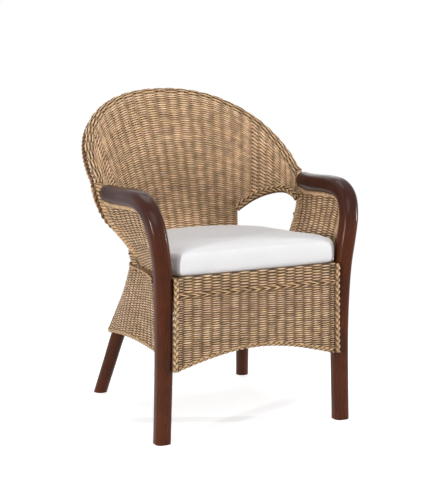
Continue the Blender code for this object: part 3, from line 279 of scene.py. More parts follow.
# Ropes: radius and length of one turn, and where it isn't a pair, the strands and their radius
ROPE_STEPS = 14
ROPE_STRAND_SHARE = 0.52
ROPE_FLATTENING = 1.1
PANEL_CORD = (PANEL_BRAID_RADIUS * 1.3, 0.015)
SEAT_ROPE = (SEAT_BRAID_RADIUS * 0.72, 0.015)
WALING_ROPE = (0.0033, 0.056)
WALING_RISE = 0.0027
WALING_OUT = 0.0012
ARCH_ROPE = (0.0044, 0.032)
ARCH_ROPE_SHARES = (0.26, 0.74)
ARCH_CORE_RADIUS = 0.0034
ARCH_CORE_RISE = 0.001
POST_WRAP = (BACK_HOOP_RADIUS + 0.0032, 0.028, 3, 0.0037)
POST_WRAP_TOP_Z = 0.614
ROD_UP = np.array([0.31, 0.23, 0.92])

# Painted light, darker as painted shade deep in the weave and at a strand's sides: its least, how it
# grows outwards, its share at a strand's sides, and what the rods inside plaits and the stakes get
LEAST_PAINTED_LIGHT = 0.2
PAINTED_LIGHT_POWER = 1.4
SIDE_PAINTED_LIGHT_SHARE = 0.25
CORE_PAINTED_LIGHT = 0.2
STAKE_OUT = -0.5

# Lamps: place, size and power
LAMPS = {
    "left_light": ((-2.6, -1.3, 0.75), (0.13, 0.8), 49),
    "right_light": ((2.6, -1.3, 0.75), (0.13, 0.8), 51),
    "front_light": ((-0.2, -2.6, 2.8), (2.4, 1.8), 39),
    "top_light": ((0.2, 0.9, 3.0), (1.6, 1.6), 20),
    "rear_light": ((0.9, 2.8, 1.6), (2.4, 1.8), 14),
}
LAMP_TARGET = (0, 0, 0.4)
SOFT_STRENGTH = 0.24
FLOOR_ALBEDO = 0.34
FLOOR_SIZE = 40
# The floor shows the chair's shadow up to the first distance, and fades to white at the second
FLOOR_FADE = (0.6, 1.6)
# Its own glow, and how much of the light that falls on it is seen, at the two distances
FLOOR_GLOW = (0.56, 1.0)
FLOOR_SHADE = (0.9, 0.0)
CAMERA_LENS = 118.24
CAMERA_AZIMUTH = math.radians(25.197)
CAMERA_RISE = math.radians(11.597)
CAMERA_DISTANCE = 4.2
CAMERA_PIVOT_Z = 0.35
CAMERA_TARGET = (0.0312, 0.0078, 0.4492)

# The CAD model's origin lies under the middle of its box, so these lines are moved along Y
SHIFT_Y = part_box("front_panel")[0][1] - FRONT_FACE_Y
CLEARANCE = 0.0003
DENSE = 400
# Points of each wall's grid across and up, and points of lines
BACK_GRID = (241, 120)
SKIRT_GRID = (241, 60)
FRONT_GRID = (121, 80)
DECK_GRID = (81, 81)
PANEL_GRID = (61, 61)
SHORT_LINE = 30
MIDDLE_LINE = 40
LINE = 60
LONG_LINE = 240
ARM_STEPS = 10
CUSHION_EDGE_RINGS = 12
CLOTH_QUALITY = 6
SEAT_SLOPE = (SEAT_FRONT_Z - SEAT_REAR_Z) / (SEAT_CENTRE_Y + SEAT_REAR_DEPTH - FRONT_FACE_Y)
LEG_BACK_Y = LEG_FRONT_Y + LEG_BACK_SHARE * (ARM_END_Y - LEG_FRONT_Y) + WOOD_HALF_SIZE
SKIRT_OFFSET = SEAT_HOOP_RADIUS + CLEARANCE + WALL_THICKNESS / 2
ROLL_RADIUS = BACK_HOOP_RADIUS + 7 * CLEARANCE + WALL_THICKNESS / 2
CORNER_BRAID_Y = FRONT_FACE_Y + WALL_THICKNESS - CORNER_BRAID_RADIUS
SIDES = ((-1, "left"), (1, "right"))
RIGHT = np.array([1.0, 0.0, 0.0])
REAR = np.array([0.0, 1.0, 0.0])
UP = np.array([0.0, 0.0, 1.0])
rng = np.random.default_rng(7)


# Lines of the chair, before the move along Y


def lengths(line):
    return np.r_[0, np.cumsum(np.linalg.norm(np.diff(line, axis=0), axis=1))]


def sampled(at, run, line):
    """Each column of a line, read off at these places along its run."""
    return np.column_stack([np.interp(at, run, column) for column in line.T])


def at_shares(line, shares):
    """Points at these shares of a line's length."""
    run = lengths(line)
    return sampled(np.asarray(shares, float) * run[-1], run, line)


def share_of(line, column, value):
    """The share of its length at which a falling coordinate reaches a value."""
    run = lengths(line)
    return float(np.interp(-value, -line[:, column], run) / run[-1])


def smooth_line(shares, count=8, start=0.0, span=1.0):
    """A smooth line through shares of a span, with this many steps between each two."""
    knots = np.array(start) + np.array(shares) * span
    ends = np.vstack([2 * knots[0] - knots[1], knots, 2 * knots[-1] - knots[-2]])
    t = (np.arange(count) / count)[:, None]
    line = []
    for before, start, end, after in zip(ends, ends[1:], ends[2:], ends[3:]):
        bend = (2 * before - 5 * start + 4 * end - after) * t**2
        turn = (3 * start - before - 3 * end + after) * t**3
        line.append((2 * start + (end - before) * t + bend + turn) / 2)
    return np.vstack([*line, knots[-1:]])


def smoothstep(values):
    values = np.clip(values, 0, 1)
    return values * values * (3 - 2 * values)


def unit(vectors):
    return vectors / np.maximum(np.linalg.norm(vectors, axis=-1, keepdims=True), 1e-12)


def eased(line, step=0.004, reach=0.008):
    """A line at even steps, with every bend smoothed over this reach."""
    run = lengths(line[:, :3])
    even = np.linspace(0, run[-1], int(run[-1] / step) + 1)
    size = int(3 * reach / step)
    weights = np.exp(-((np.arange(-size, size + 1) * step / reach) ** 2) / 2)
    columns = []
    for values in sampled(even, run, line).T:
        before, after = values[size:0:-1], values[-2 : -size - 2 : -1]
        values = np.r_[2 * values[0] - before, values, 2 * values[-1] - after]
        columns.append(np.convolve(values, weights / weights.sum(), "valid"))
    return np.column_stack(columns)


def ahead_of(points):
    """Unit directions along a line of points."""
    return unit(np.gradient(points, axis=0))


def beside(points, up):
    """Unit directions square to a line of points and to what is up there."""
    return unit(np.cross(up, ahead_of(points)))


def mirrored(points, side=-1):
    return points * np.array([float(side), 1.0, 1.0])


def both_sides(middle, right):
    """One line from the left end by the middle to the right end."""
    return np.vstack([mirrored(right)[::-1], middle, right])


def rounded_half(half_width, rear_depth, power, centre_y, front_half_width, front_y):
    """Half of a D-shaped plan, from the middle of the rear to its front end."""
    angles = np.linspace(0, math.pi / 2, DENSE)
    across = half_width * np.sin(angles) ** (2 / power)
    back = centre_y + rear_depth * np.cos(angles) ** (2 / power)
    ahead = np.linspace(0, 1, DENSE)[1:]
    front_across = half_width + (front_half_width - half_width) * ahead**SEAT_SPREAD_POWER
    front_back = centre_y + (front_y - centre_y) * ahead
    return np.column_stack([np.r_[across, front_across], np.r_[back, front_back]])


def seat_z(y):
    return SEAT_FRONT_Z - SEAT_SLOPE * (y - FRONT_FACE_Y)


def places_on(line, shares):
    """Points of half a line, their directions and side; a share runs from -1 at the left to 1."""
    shares = np.asarray(shares, float)
    size, step = np.abs(shares), 1 / DENSE
    ahead = at_shares(line, np.minimum(size + step, 1))
    ahead = ahead - at_shares(line, np.maximum(size - step, 0))
    ahead[size < step] = RIGHT[: line.shape[1]]
    return at_shares(line, size), unit(ahead), np.where(shares < 0, -1.0, 1.0)


def plan_points(line, shares, outward):
    """Across and back of a plan, moved outward."""
    here, ahead, side = places_on(line, shares)
    here = here + np.column_stack([-ahead[:, 1], ahead[:, 0]]) * outward
    return here[:, 0] * side, here[:, 1]


def seat_points(shares, outward=0.0):
    x, y = plan_points(SEAT_LINE, shares, outward)
    return np.column_stack([x, y, seat_z(y)])


def hem_line():
    """Half of the hem's plan: straight behind, round the rear leg, and bowed along the side."""
    front = np.array([HEM_FRONT_HALF_WIDTH, LEG_BACK_Y])
    across, back = front - HEM_CORNER
    turns = np.linspace(0, math.pi / 2 + math.atan2(across, -back), DENSE // 10)
    corner = HEM_CORNER + HEM_CORNER_RADIUS * np.column_stack([np.sin(turns), np.cos(turns)])
    share = np.linspace(0, 1, DENSE // 4)[1:, None]
    bow = HEM_SIDE_BOW * np.sin(share * math.pi) * RIGHT[:2]
    side = corner[-1] + (front - corner[-1]) * share + bow
    return np.vstack([[0.0, HEM_CORNER[1] + HEM_CORNER_RADIUS], corner, side])


def hem_points(shares, outward=0.0):
    x, y = plan_points(HEM_LINE, shares, outward)
    size = np.abs(np.asarray(shares, float))
    rear = np.minimum(size / HEM_CORNER_SHARE, 1)
    rear_z = HEM_CORNER_Z + (HEM_REAR_PEAK_Z - HEM_CORNER_Z) * np.cos(rear * math.pi / 2) ** 2
    along = np.clip((size - HEM_CORNER_SHARE) / (1 - HEM_CORNER_SHARE), 0, 1)
    side_z = HEM_CORNER_Z + (HEM_FRONT_Z - HEM_CORNER_Z) * np.sin(along * math.pi / 2)
    side_z = side_z + HEM_SIDE_PEAK_RISE * np.sin(along * math.pi)
    return np.column_stack([x, y, np.where(size < HEM_CORNER_SHARE, rear_z, side_z)])


def post_line():
    """The right front post, from the rim's widest point down to the seat."""
    x, y = at_shares(SEAT_LINE, [POST_SHARE])[0]
    span = np.array([RIM_HALF_WIDTH - x, RIM_CENTRE_Y - y, seat_z(y) - RIM_END_Z])
    return smooth_line(POST_BEND_SHARES, 8, (x, y, RIM_END_Z), span)


def post_at(z):
    """The middle of the right front post at heights."""
    return sampled(-np.asarray(z), -POST_LINE[:, 2], POST_LINE)


def rim_line():
    """Half of the back hoop's centre line, from the top of the back to the arm's end."""
    plan = rounded_half(
        RIM_HALF_WIDTH, RIM_REAR_DEPTH, RIM_ROUND_POWER, RIM_CENTRE_Y, RIM_HALF_WIDTH, RIM_CENTRE_Y
    )[:DENSE]
    height = RIM_TOP_Z - (RIM_TOP_Z - RIM_END_Z) * (plan[0, 1] - plan[:, 1]) / RIM_REAR_DEPTH
    between = [point for point in POST_LINE[1:] if point[2] > RIM_JOIN_Z]
    return np.vstack([np.column_stack([plan, height]), *between, post_at([RIM_JOIN_Z])[0]])


def arm_line():
    """The right arm and its leg from the floor up, with half sizes."""
    tip_x = post_at([ARM_PATH_SHARES[-1][2] * ARM_Z])[0, 0] - ARM_TIP_INSET
    out = (tip_x - LEG_WAIST_X) / ARM_PATH_SHARES[-1][0]
    span = np.array([out, ARM_END_Y - LEG_FRONT_Y, ARM_Z, WOOD_HALF_SIZE])
    return smooth_line(ARM_PATH_SHARES, 8, (LEG_WAIST_X, LEG_FRONT_Y, 0, 0), span)


def rear_leg_line():
    """The right rear leg from the floor up, with its radii."""
    x, y, z = REAR_LEG_TOP
    top = z - DECK_THICKNESS - REAR_FOOT_RADIUS * math.sin(REAR_LEG_TOP_LEAN) - 2 * CLEARANCE
    span = np.array([REAR_FOOT_OUT, REAR_FOOT_BACK, top, REAR_FOOT_RADIUS])
    return smooth_line(REAR_LEG_SHARES, 10, (x, y, 0, 0), span)


SEAT_LINE = rounded_half(
    SEAT_HALF_WIDTH,
    SEAT_REAR_DEPTH,
    SEAT_ROUND_POWER,
    SEAT_CENTRE_Y,
    SEAT_FRONT_HALF_WIDTH,
    LEG_BACK_Y,
)
POST_SHARE = share_of(SEAT_LINE, 1, POST_FOOT_Y)
POST_LINE = post_line()
RIM_LINE = rim_line()
REAR_LEG_TOP = seat_points([REAR_LEG_SEAT_SHARE], -REAR_LEG_TOP_INSET)[0]
HEM_CORNER = REAR_LEG_TOP[:2] + np.array([HEM_CORNER_OUT, HEM_CORNER_BACK])
HEM_LINE = hem_line()
HEM_CORNER_SHARE = share_of(HEM_LINE, 1, HEM_CORNER[1])
ARCH_LINE = smooth_line(WINDOW_ARCH_SHARES)
ARM_LINE = arm_line()
RISING = ARM_LINE[: int(np.argmax(ARM_LINE[:, 2])) + 1]


def leg_at(z):
    """Centre x, centre y and half thickness of the right front leg at a height."""
    return [float(np.interp(z, RISING[:, 2], RISING[:, column])) for column in (0, 1, 3)]


def rim_frames(shares):
    """Centres, outward and upward directions of the back hoop at shares of the rim."""
    centre, ahead, side = places_on(RIM_LINE, shares)
    outward = unit(np.column_stack([-ahead[:, 1], ahead[:, 0], np.zeros(len(ahead))]))
    upward = -np.cross(ahead, outward)
    upward = np.where(upward[:, 2:] < 0, -upward, upward)
    turned = np.column_stack([side, np.ones((len(side), 2))])
    return centre * turned, outward * turned, upward * turned


def past_neck(shares):
    """How far shares of the rim lie past the neck, from 0 there to 1 at the post."""
    return np.maximum(0.0, (np.abs(shares) - NECK_SHARE) / (1 - NECK_SHARE))


def back_wall(shares, heights):
    """Points on the middle of the woven back, from the seat line up to the rim."""
    foot = seat_points(shares * POST_SHARE)
    centre, outward, _ = rim_frames(shares)
    top = centre - ROLL_RADIUS * outward
    spread = ((1 - BACK_FLARE_SHARE) * heights + BACK_FLARE_SHARE * heights**3)[:, None]
    point = foot + (top - foot) * spread
    point[:, 2] = foot[:, 2] + (top[:, 2] - foot[:, 2]) * heights
    beyond = past_neck(shares) ** 2
    low, high = POST_LINE[-1], RIM_LINE[-1]
    bulge = post_at(low[2] + (high[2] - low[2]) * heights) - (low + (high - low) * spread)
    point[:, 0] += np.where(shares < 0, -1.0, 1.0) * bulge[:, 0] * beyond
    point[:, 1] += bulge[:, 1] * beyond
    return point


def back_roll(shares, turns):
    centre, outward, upward = rim_frames(shares)
    turns = turns[:, None]
    return centre + ROLL_RADIUS * (upward * np.sin(turns) - outward * np.cos(turns))


def arch_shares(shares):
    """How high the windows reach in the back wall at shares of the rim."""
    return np.interp(past_neck(shares), ARCH_LINE[:, 0], ARCH_LINE[:, 1])


def back_edge_shares(heights):
    """The share of the rim where the weave stops beside the post."""
    seat_length = lengths(SEAT_LINE)[-1] * POST_SHARE
    rim_length = lengths(RIM_LINE)[-1]
    gap = BACK_HOOP_RADIUS * BACK_EDGE_GAP_SHARE
    return 1 - gap / (seat_length + (rim_length - seat_length) * heights)


# Walls: grids of points over stakes and rows


class Wall:
    """A woven wall. A place on it is a stake number and a row number, whole or between."""

    def __init__(self, points, stakes, rows):
        self.points = points
        self.stakes = stakes
        self.rows = rows
        by_row = np.gradient(points, axis=1)
        by_stake = np.gradient(points, axis=0)
        self.normals = unit(np.cross(by_row, by_stake))
        self.pitch = np.linalg.norm(by_row, axis=2) * ((points.shape[1] - 1) / rows)
        # How far the rows wander together
        size = (max(stakes // SWAY_STAKES, 2) + 1, max(rows // SWAY_ROWS, 2) + 1)
        self.sway = rng.normal(0, SWAY, size)

    def look(self, values, stakes, rows):
        """Values of the grid at these places."""
        u = np.clip(stakes / self.stakes, 0, 1) * (values.shape[0] - 1)
        v = np.clip(rows / self.rows, 0, 1) * (values.shape[1] - 1)
        i = np.minimum(u.astype(int), values.shape[0] - 2)
        j = np.minimum(v.astype(int), values.shape[1] - 2)
        p, q = u - i, v - j
        if values.ndim == 3:
            p, q = p[:, None], q[:, None]
        low = values[i, j] * (1 - p) + values[i + 1, j] * p
        high = values[i, j + 1] * (1 - p) + values[i + 1, j + 1] * p
        return low * (1 - q) + high * q


def grid_of(x, y, z):
    return np.stack(np.broadcast_arrays(x, y, z), axis=-1)


def all_kept(at, rows):
    return np.full(len(at), True)


def runs_of(kept):
    """Each unbroken run of true values."""
    edges = np.flatnonzero(np.diff(np.r_[0, kept.astype(int), 0]))
    return [slice(a, b) for a, b in zip(edges[::2], edges[1::2]) if b - a > 2]


def weft(wall, kept_at, row_numbers, drop_at=None, flat=1.0):
    """Strands that pass in front of one stake and behind the next.

    drop_at gives, for each place along, how far every other pair of strands has ended (0 to 1).
    flat below 1 makes the wall thinner.
    """
    paths = []
    at = np.linspace(0, wall.stakes, wall.stakes * SAMPLES_PER_STAKE + 1)
    for number in row_numbers:
        level = np.full(len(at), float(number))
        own = np.interp(at, np.arange(wall.stakes + 1), rng.normal(0, WOBBLE, wall.stakes + 1))
        edge = min(1.0, number / EDGE_ROWS, (wall.rows - number) / EDGE_ROWS)
        rows = level + own + edge * wall.look(wall.sway, at, level)
        kept = kept_at(at, level)
        spread = 1.0
        if drop_at is not None:
            dropped = drop_at(at)
            if number % 4 in (1, 2):
                kept &= dropped < 0.5
            elif number % 4 == 3:
                rows = rows - dropped
            spread = 1 + DROP_SPREAD * dropped
        points = wall.look(wall.points, at, rows)
        normal = unit(wall.look(wall.normals, at, rows))
        pitch = wall.look(wall.pitch, at, rows) * spread
        side = 1 if number % 2 else -1
        wave = side * np.tanh(CROSSING * np.cos(math.pi * at)) / math.tanh(CROSSING)
        share = STRAND_WIDTH_SHARE + HUMP_SWELL_SHARE * np.abs(wave) ** HUMP_SWELL_POWER
        width = pitch * share * rng.normal(1, WIDTH_SPREAD)
        depth = flat * STRAND_THICKNESS * np.clip(pitch / FULL_THICKNESS_PITCH, *THICKNESS_SHARES)
        points = points + normal * (flat * WEAVE_DEPTH * wave)[:, None]
        tone = rng.random()
        for run in runs_of(kept):
            piece, up = points[run], normal[run]
            half_width = beside(piece, up) * (width[run] / 2)[:, None]
            half_depth = up * (depth[run] / 2)[:, None]
            paths.append((piece, half_width, half_depth, tone, (up, wave[run])))
    return paths


def stakes_of(wall, kept_at, radius=STAKE_RADIUS):
    """The stakes between the strands, in pairs."""
    paths = []
    rows = np.linspace(0, wall.rows, MIDDLE_LINE)
    for stake in range(wall.stakes + 1):
        along = np.full(len(rows), float(stake))
        points = wall.look(wall.points, along, rows)
        normal = unit(wall.look(wall.normals, along, rows))
        tone = rng.random()
        for run in runs_of(kept_at(along, rows)):
            piece, up = points[run], normal[run]
            side = beside(piece, up) * radius
            axes = (side * STAKE_WIDTH_SHARE, up * radius)
            for apart in (-STAKE_APART_SHARE, STAKE_APART_SHARE):
                paths.append((piece + side * apart, *axes, tone, (up, STAKE_OUT)))
    return paths


def fine_line(points, ups, step):
    """A line at even steps: how far along, where, and its up and side directions."""
    run = lengths(points)
    fine = np.linspace(0, run[-1], max(int(run[-1] / step), 8))
    centre = sampled(fine, run, points)
    side = beside(centre, unit(sampled(fine, run, np.broadcast_to(ups, points.shape))))
    return fine, centre, unit(np.cross(ahead_of(centre), side)), side


def plait(points, ups, width, thickness, pitch, core_radius):
    """A flat plait of three strands round a rod painted dark as shade; its Vs repeat at the pitch.
    """
    fine, centre, up, side = fine_line(points, ups, pitch / PLAIT_STEPS)
    strand = width * PLAIT_STRAND_SHARE
    paths = []
    for index in range(3):
        phase = 2 * math.pi * (fine / (3 * pitch) + index / 3)
        out = (width / 2 - strand * PLAIT_INSET_SHARE) * np.sin(phase)
        over = np.sin(2 * phase)
        line = centre + side * out[:, None] + up * (thickness * PLAIT_RISE_SHARE * over)[:, None]
        half_width = beside(line, up) * strand * PLAIT_HALF_WIDTH_SHARE
        half_depth = up * thickness * PLAIT_HALF_DEPTH_SHARE
        paths.append((line, half_width, half_depth, rng.random(), (up, over)))
    # The rod inside is painted dark as the shade between the strands
    return [*paths, rod(points, core_radius, CORE_PAINTED_LIGHT)]


def rope(points, ups, radius, pitch, strands=2, strand=None, turn=1):
    """Strands that twist round a line, or round the rod on that line."""
    fine, centre, up, side = fine_line(points, ups, pitch / ROPE_STEPS)
    strand = strand or radius * ROPE_STRAND_SHARE
    paths = []
    for index in range(strands):
        phase = turn * 2 * math.pi * (fine / pitch + index / strands)
        away = side * np.cos(phase)[:, None] + up * np.sin(phase)[:, None]
        line = centre + away * (radius - strand)
        half_width = beside(line, away) * strand * ROPE_FLATTENING
        paths.append((line, half_width, away * strand, rng.random(), (away, 1.0)))
    return paths


def rod(points, radius, painted_light=1.0):
    """One round rod."""
    side = beside(points, unit(np.broadcast_to(ROD_UP, points.shape)))
    up = unit(np.cross(ahead_of(points), side))
    return points, side * radius, up * radius, rng.random(), painted_light


# Materials


class Nodes:
    """The nodes of a material or the world, and short calls that add more."""

    def __init__(self, owner, shader="Principled BSDF"):
        owner.use_nodes = True
        self.owner = owner
        self.tree = owner.node_tree
        self.shader = self.tree.nodes[shader]

    def add(self, kind, values=(), output=0, **settings):
        """Adds a node and gives one of its outputs."""
        node = self.tree.nodes.new(kind)
        for key, value in settings.items():
            setattr(node, key, value)
        for key, value in dict(values).items():
            self.put(node.inputs[key], value)
        return node.outputs[output]

    def put(self, socket, value):
        if isinstance(value, bpy.types.NodeSocket):
            self.tree.links.new(value, socket)
        elif isinstance(value, tuple) and len(value) == 3 and socket.type == "RGBA":
            socket.default_value = (*value, 1.0)
        else:
            socket.default_value = value

    def place(self, kind="Object"):
        return self.add("ShaderNodeTexCoord", output=kind)

    def noise(self, vector, scale, detail=3.0, roughness=0.55):
        inputs = {"Vector": vector, "Scale": scale, "Detail": detail, "Roughness": roughness}
        return self.add("ShaderNodeTexNoise", inputs)

    def stretched(self, vector, scale):
        return self.add("ShaderNodeMapping", {"Vector": vector, "Scale": scale})

    def ramp(self, value, *stops):
        """Colours by value; a stop is a value with a colour, or with one number for a grey."""
        colours = self.add("ShaderNodeValToRGB", {"Fac": value})
        points = colours.node.color_ramp.elements
        while len(points) < len(stops):
            points.new(0.5)
        for point, (place, colour) in zip(points, stops):
            point.position = place
            point.color = (*(colour if isinstance(colour, tuple) else (colour,) * 3), 1.0)
        return colours

    def mix(self, share, first, second, blend="MIX"):
        inputs = {0: share, 6: first, 7: second}
        return self.add("ShaderNodeMix", inputs, 2, data_type="RGBA", blend_type=blend)

    def shaded(self, share, colour, value, *stops):
        """A colour multiplied, to this share, by a ramp over a value."""
        return self.mix(share, colour, self.ramp(value, *stops), "MULTIPLY")

    def between(self, value, low, high, start=0.0, end=1.0):
        inputs = {"Value": value, "From Min": start, "From Max": end, "To Min": low, "To Max": high}
        return self.add("ShaderNodeMapRange", inputs)

    def maths(self, operation, first, second):
        return self.add("ShaderNodeMath", {0: first, 1: second}, operation=operation)

    def bump(self, height, strength, distance, **normal):
        inputs = {"Height": height, "Strength": strength, "Distance": distance, **normal}
        return self.add("ShaderNodeBump", inputs)

    def shown(self, output, white):
        """Puts a white shader in front of the own one where the surface itself is looked at."""
        path = self.add("ShaderNodeLightPath").node.outputs
        seen = path["Is Camera Ray"]
        for kind in ("Is Glossy Ray", "Is Transmission Ray"):
            seen = self.maths("MAXIMUM", seen, path[kind])
        mix = self.add("ShaderNodeMixShader", {0: seen, 1: self.shader.outputs[0], 2: white})
        self.put(self.tree.nodes[output].inputs["Surface"], mix)

    def finish(self, **values):
        for key, value in values.items():
            self.put(self.shader.inputs[key.replace("_", " ")], value)
        return self.owner


def new_material(name):
    return Nodes(bpy.data.materials.new(name))


def strand_material(name, tones, painted_shade):
    """Split rattan: a tone for each strand, mottled, with painted shade between strands, with
    fibres.
    """
    n = new_material(name)
    mottle = n.noise(n.place(), 55.0, 4.0, 0.6)
    fibre = n.noise(n.stretched(n.place("UV"), (120.0, 7.0, 1.0)), 6.0, 3.0, 0.6)
    tone = n.add("ShaderNodeAttribute", output="Fac", attribute_name="tone")
    painted_light = n.add("ShaderNodeAttribute", output="Fac", attribute_name="painted_light")
    colour = n.shaded(0.75, n.ramp(tone, *tones), mottle, (0.3, 0.45), (0.7, 1.25))
    # Painted shade between and under strands, and a painted highlight on their crests
    colour = n.shaded(0.9, colour, painted_light, *painted_shade)
    colour = n.shaded(0.5, colour, fibre, (0.32, 0.35), (0.6, 1.1))
    normal = n.bump(fibre, 0.35, 0.0006)
    rough = n.between(mottle, 0.38, 0.62)
    return n.finish(Base_Color=colour, Roughness=rough, Normal=normal, Specular_IOR_Level=0.2)


def wood_material():
    """Dark lacquered wood, nearly black at the arm and redder towards the feet."""
    n = new_material("scene_dark_wood")
    place = n.place()
    height = n.add("ShaderNodeSeparateXYZ", {"Vector": place}, "Z")
    low, middle, high = (0.090, 0.025, 0.009), (0.082, 0.021, 0.007), (0.052, 0.017, 0.012)
    grain = n.noise(n.stretched(n.place("UV"), (9.0, 26.0, 1.0)), 3.0, 5.0, 0.62)
    cloud = n.noise(place, 9.0, 2.0)
    colour = n.ramp(height, (0.05, low), (0.49, middle), (0.57, high))
    colour = n.shaded(0.85, colour, grain, (0.36, 0.62), (0.62, 1.2))
    colour = n.shaded(0.5, colour, cloud, (0.35, 0.7), (0.7, (1.5, 1.25, 1.1)))
    rough = n.between(grain, 0.26, 0.38)
    normal = n.bump(grain, 0.08, 0.0006)
    gloss = {"Specular_IOR_Level": 0.05, "Coat_Weight": 0.17, "Coat_Roughness": 0.13}
    return n.finish(Base_Color=colour, Roughness=rough, Normal=normal, **gloss)


def pole_material():
    """Rattan cane with faint rings."""
    n = new_material("scene_rattan_pole")
    place = n.place()
    mottle = n.noise(place, 30.0, 4.0)
    fibre = n.noise(n.stretched(place, (260.0, 260.0, 18.0)), 1.0)
    colour = n.mix(mottle, (0.36, 0.21, 0.10), (0.22, 0.12, 0.055))
    colour = n.shaded(0.5, colour, fibre, (0.35, 0.55), (0.6, 1.1))
    rough = n.between(mottle, 0.35, 0.6)
    return n.finish(Base_Color=colour, Roughness=rough, Normal=n.bump(fibre, 0.3, 0.0005))


def cloth_material():
    """White cotton with a fine plain weave and soft creases."""
    n = new_material("scene_white_cloth")
    place = n.place()
    weave = 0.0
    for axis in "XYZ":
        inputs = {"Vector": place, "Scale": 420.0, "Distortion": 0.6, "Detail": 1.0}
        threads = n.add("ShaderNodeTexWave", inputs, "Fac", bands_direction=axis)
        weave = n.maths("ADD", weave, threads)
    cloud = n.noise(place, 14.0, 3.0, 0.5)
    crease = n.noise(n.stretched(place, (1.0, 1.6, 1.0)), 22.0, 2.0, 0.4)
    colour = n.mix(cloud, (0.87, 0.86, 0.87), (0.93, 0.92, 0.93))
    normal = n.bump(weave, 0.22, 0.0004, Normal=n.bump(crease, 0.18, 0.004))
    rough = n.between(cloud, 0.82, 0.95)
    return n.finish(Base_Color=colour, Roughness=rough, Normal=normal, Sheen_Weight=0.15)


def foam_material():
    n = new_material("scene_foam")
    place = n.place()
    cells = n.add("ShaderNodeTexVoronoi", {"Vector": place, "Scale": 700.0})
    cloud = n.noise(place, 20.0)
    colour = n.mix(cloud, (0.90, 0.85, 0.66), (0.84, 0.78, 0.58))
    rough = n.between(cloud, 0.9, 1.0)
    return n.finish(Base_Color=colour, Roughness=rough, Normal=n.bump(cells, 0.4, 0.0008))


def steel_material():
    n = new_material("scene_steel")
    brush = n.noise(n.stretched(n.place(), (90.0, 900.0, 90.0)), 3.0, 2.0)
    colour = n.mix(brush, (0.50, 0.50, 0.51), (0.64, 0.64, 0.65))
    rough = n.between(brush, 0.25, 0.45)
    normal = n.bump(brush, 0.1, 0.0002)
    return n.finish(Base_Color=colour, Metallic=1.0, Roughness=rough, Normal=normal)


# Colours of a strand by its tone, and painted shade and painted highlight by how far out it lies
WEAVE_TONES = (
    (0.00, (0.60, 0.38, 0.215)),
    (0.25, (0.71, 0.48, 0.29)),
    (0.50, (0.63, 0.43, 0.24)),
    (0.75, (0.78, 0.55, 0.35)),
    (1.00, (0.65, 0.40, 0.27)),
)
BRAID_TONES = (
    (0.00, (0.66, 0.43, 0.23)),
    (0.35, (0.80, 0.56, 0.32)),
    (0.70, (0.72, 0.47, 0.28)),
    (1.00, (0.84, 0.61, 0.37)),
)
SOFT_PAINTED_SHADE = ((0.18, (0.14, 0.09, 0.06)), (0.50, (0.72, 0.66, 0.60)), (0.92, 1.36))
DEEP_PAINTED_SHADE = ((0.20, (0.05, 0.03, 0.02)), (0.50, (0.42, 0.36, 0.30)), (0.92, 1.36))
BRAID_PAINTED_SHADE = ((0.18, (0.19, 0.13, 0.09)), (0.50, (0.68, 0.61, 0.54)), (0.92, 1.12))
FINISHES = {
    "weave": strand_material("scene_woven_rattan", WEAVE_TONES, SOFT_PAINTED_SHADE),
    # The same rattan with deeper painted shade between strands
    "deeply_shaded_weave": strand_material("scene_rattan_deep_painted_shade", WEAVE_TONES, DEEP_PAINTED_SHADE),
    "braid": strand_material("scene_braided_rattan", BRAID_TONES, BRAID_PAINTED_SHADE),
    "wood": wood_material(),
    "pole": pole_material(),
    "cloth": cloth_material(),
    "foam": foam_material(),
    "steel": steel_material(),
}


# Pieces


def dress(name, mesh, finish, nodes=(), body="chair"):
    """Makes a piece, gives it its finish, hangs it on what it rides on, and hides the CAD parts it
    stands for.
    """
    obj = bpy.data.objects.new(name, mesh)
    bpy.context.scene.collection.objects.link(obj)
    obj.data.materials.append(FINISHES[finish])
    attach(obj, body)
    if nodes:
        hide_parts(*nodes)
    return obj


def rings_round(points, first, second, count):
    """Rings of points round a line, on its two half axes."""
    angles = np.arange(count) / count * 2 * math.pi
    ring = points[:, None, :] + first[:, None, :] * np.cos(angles)[None, :, None]
    return ring + second[:, None, :] * np.sin(angles)[None, :, None]


def painted_light_of(points, ring, shade):
    """Painted light of a strand's points, 0 to 1: shade painted deep in its wall or rope and at its
    sides.
    """
    if isinstance(shade, float):
        return np.full(ring.shape[:2], shade)
    up, out = shade
    facing = ((ring - points[:, None, :]) * up[:, None, :]).sum(axis=2)
    facing = facing / np.abs(facing).max(axis=1, keepdims=True)
    out = np.clip(out * np.ones(len(points)), -1, 1)[:, None] * np.sign(np.round(facing, 3))
    # Painted shade: darker deep in the wall or rope, and darker still at a strand's sides
    painted_light = LEAST_PAINTED_LIGHT + (1 - LEAST_PAINTED_LIGHT) * (0.5 + 0.5 * out) ** PAINTED_LIGHT_POWER
    return painted_light * (SIDE_PAINTED_LIGHT_SHARE + (1 - SIDE_PAINTED_LIGHT_SHARE) * np.abs(facing))


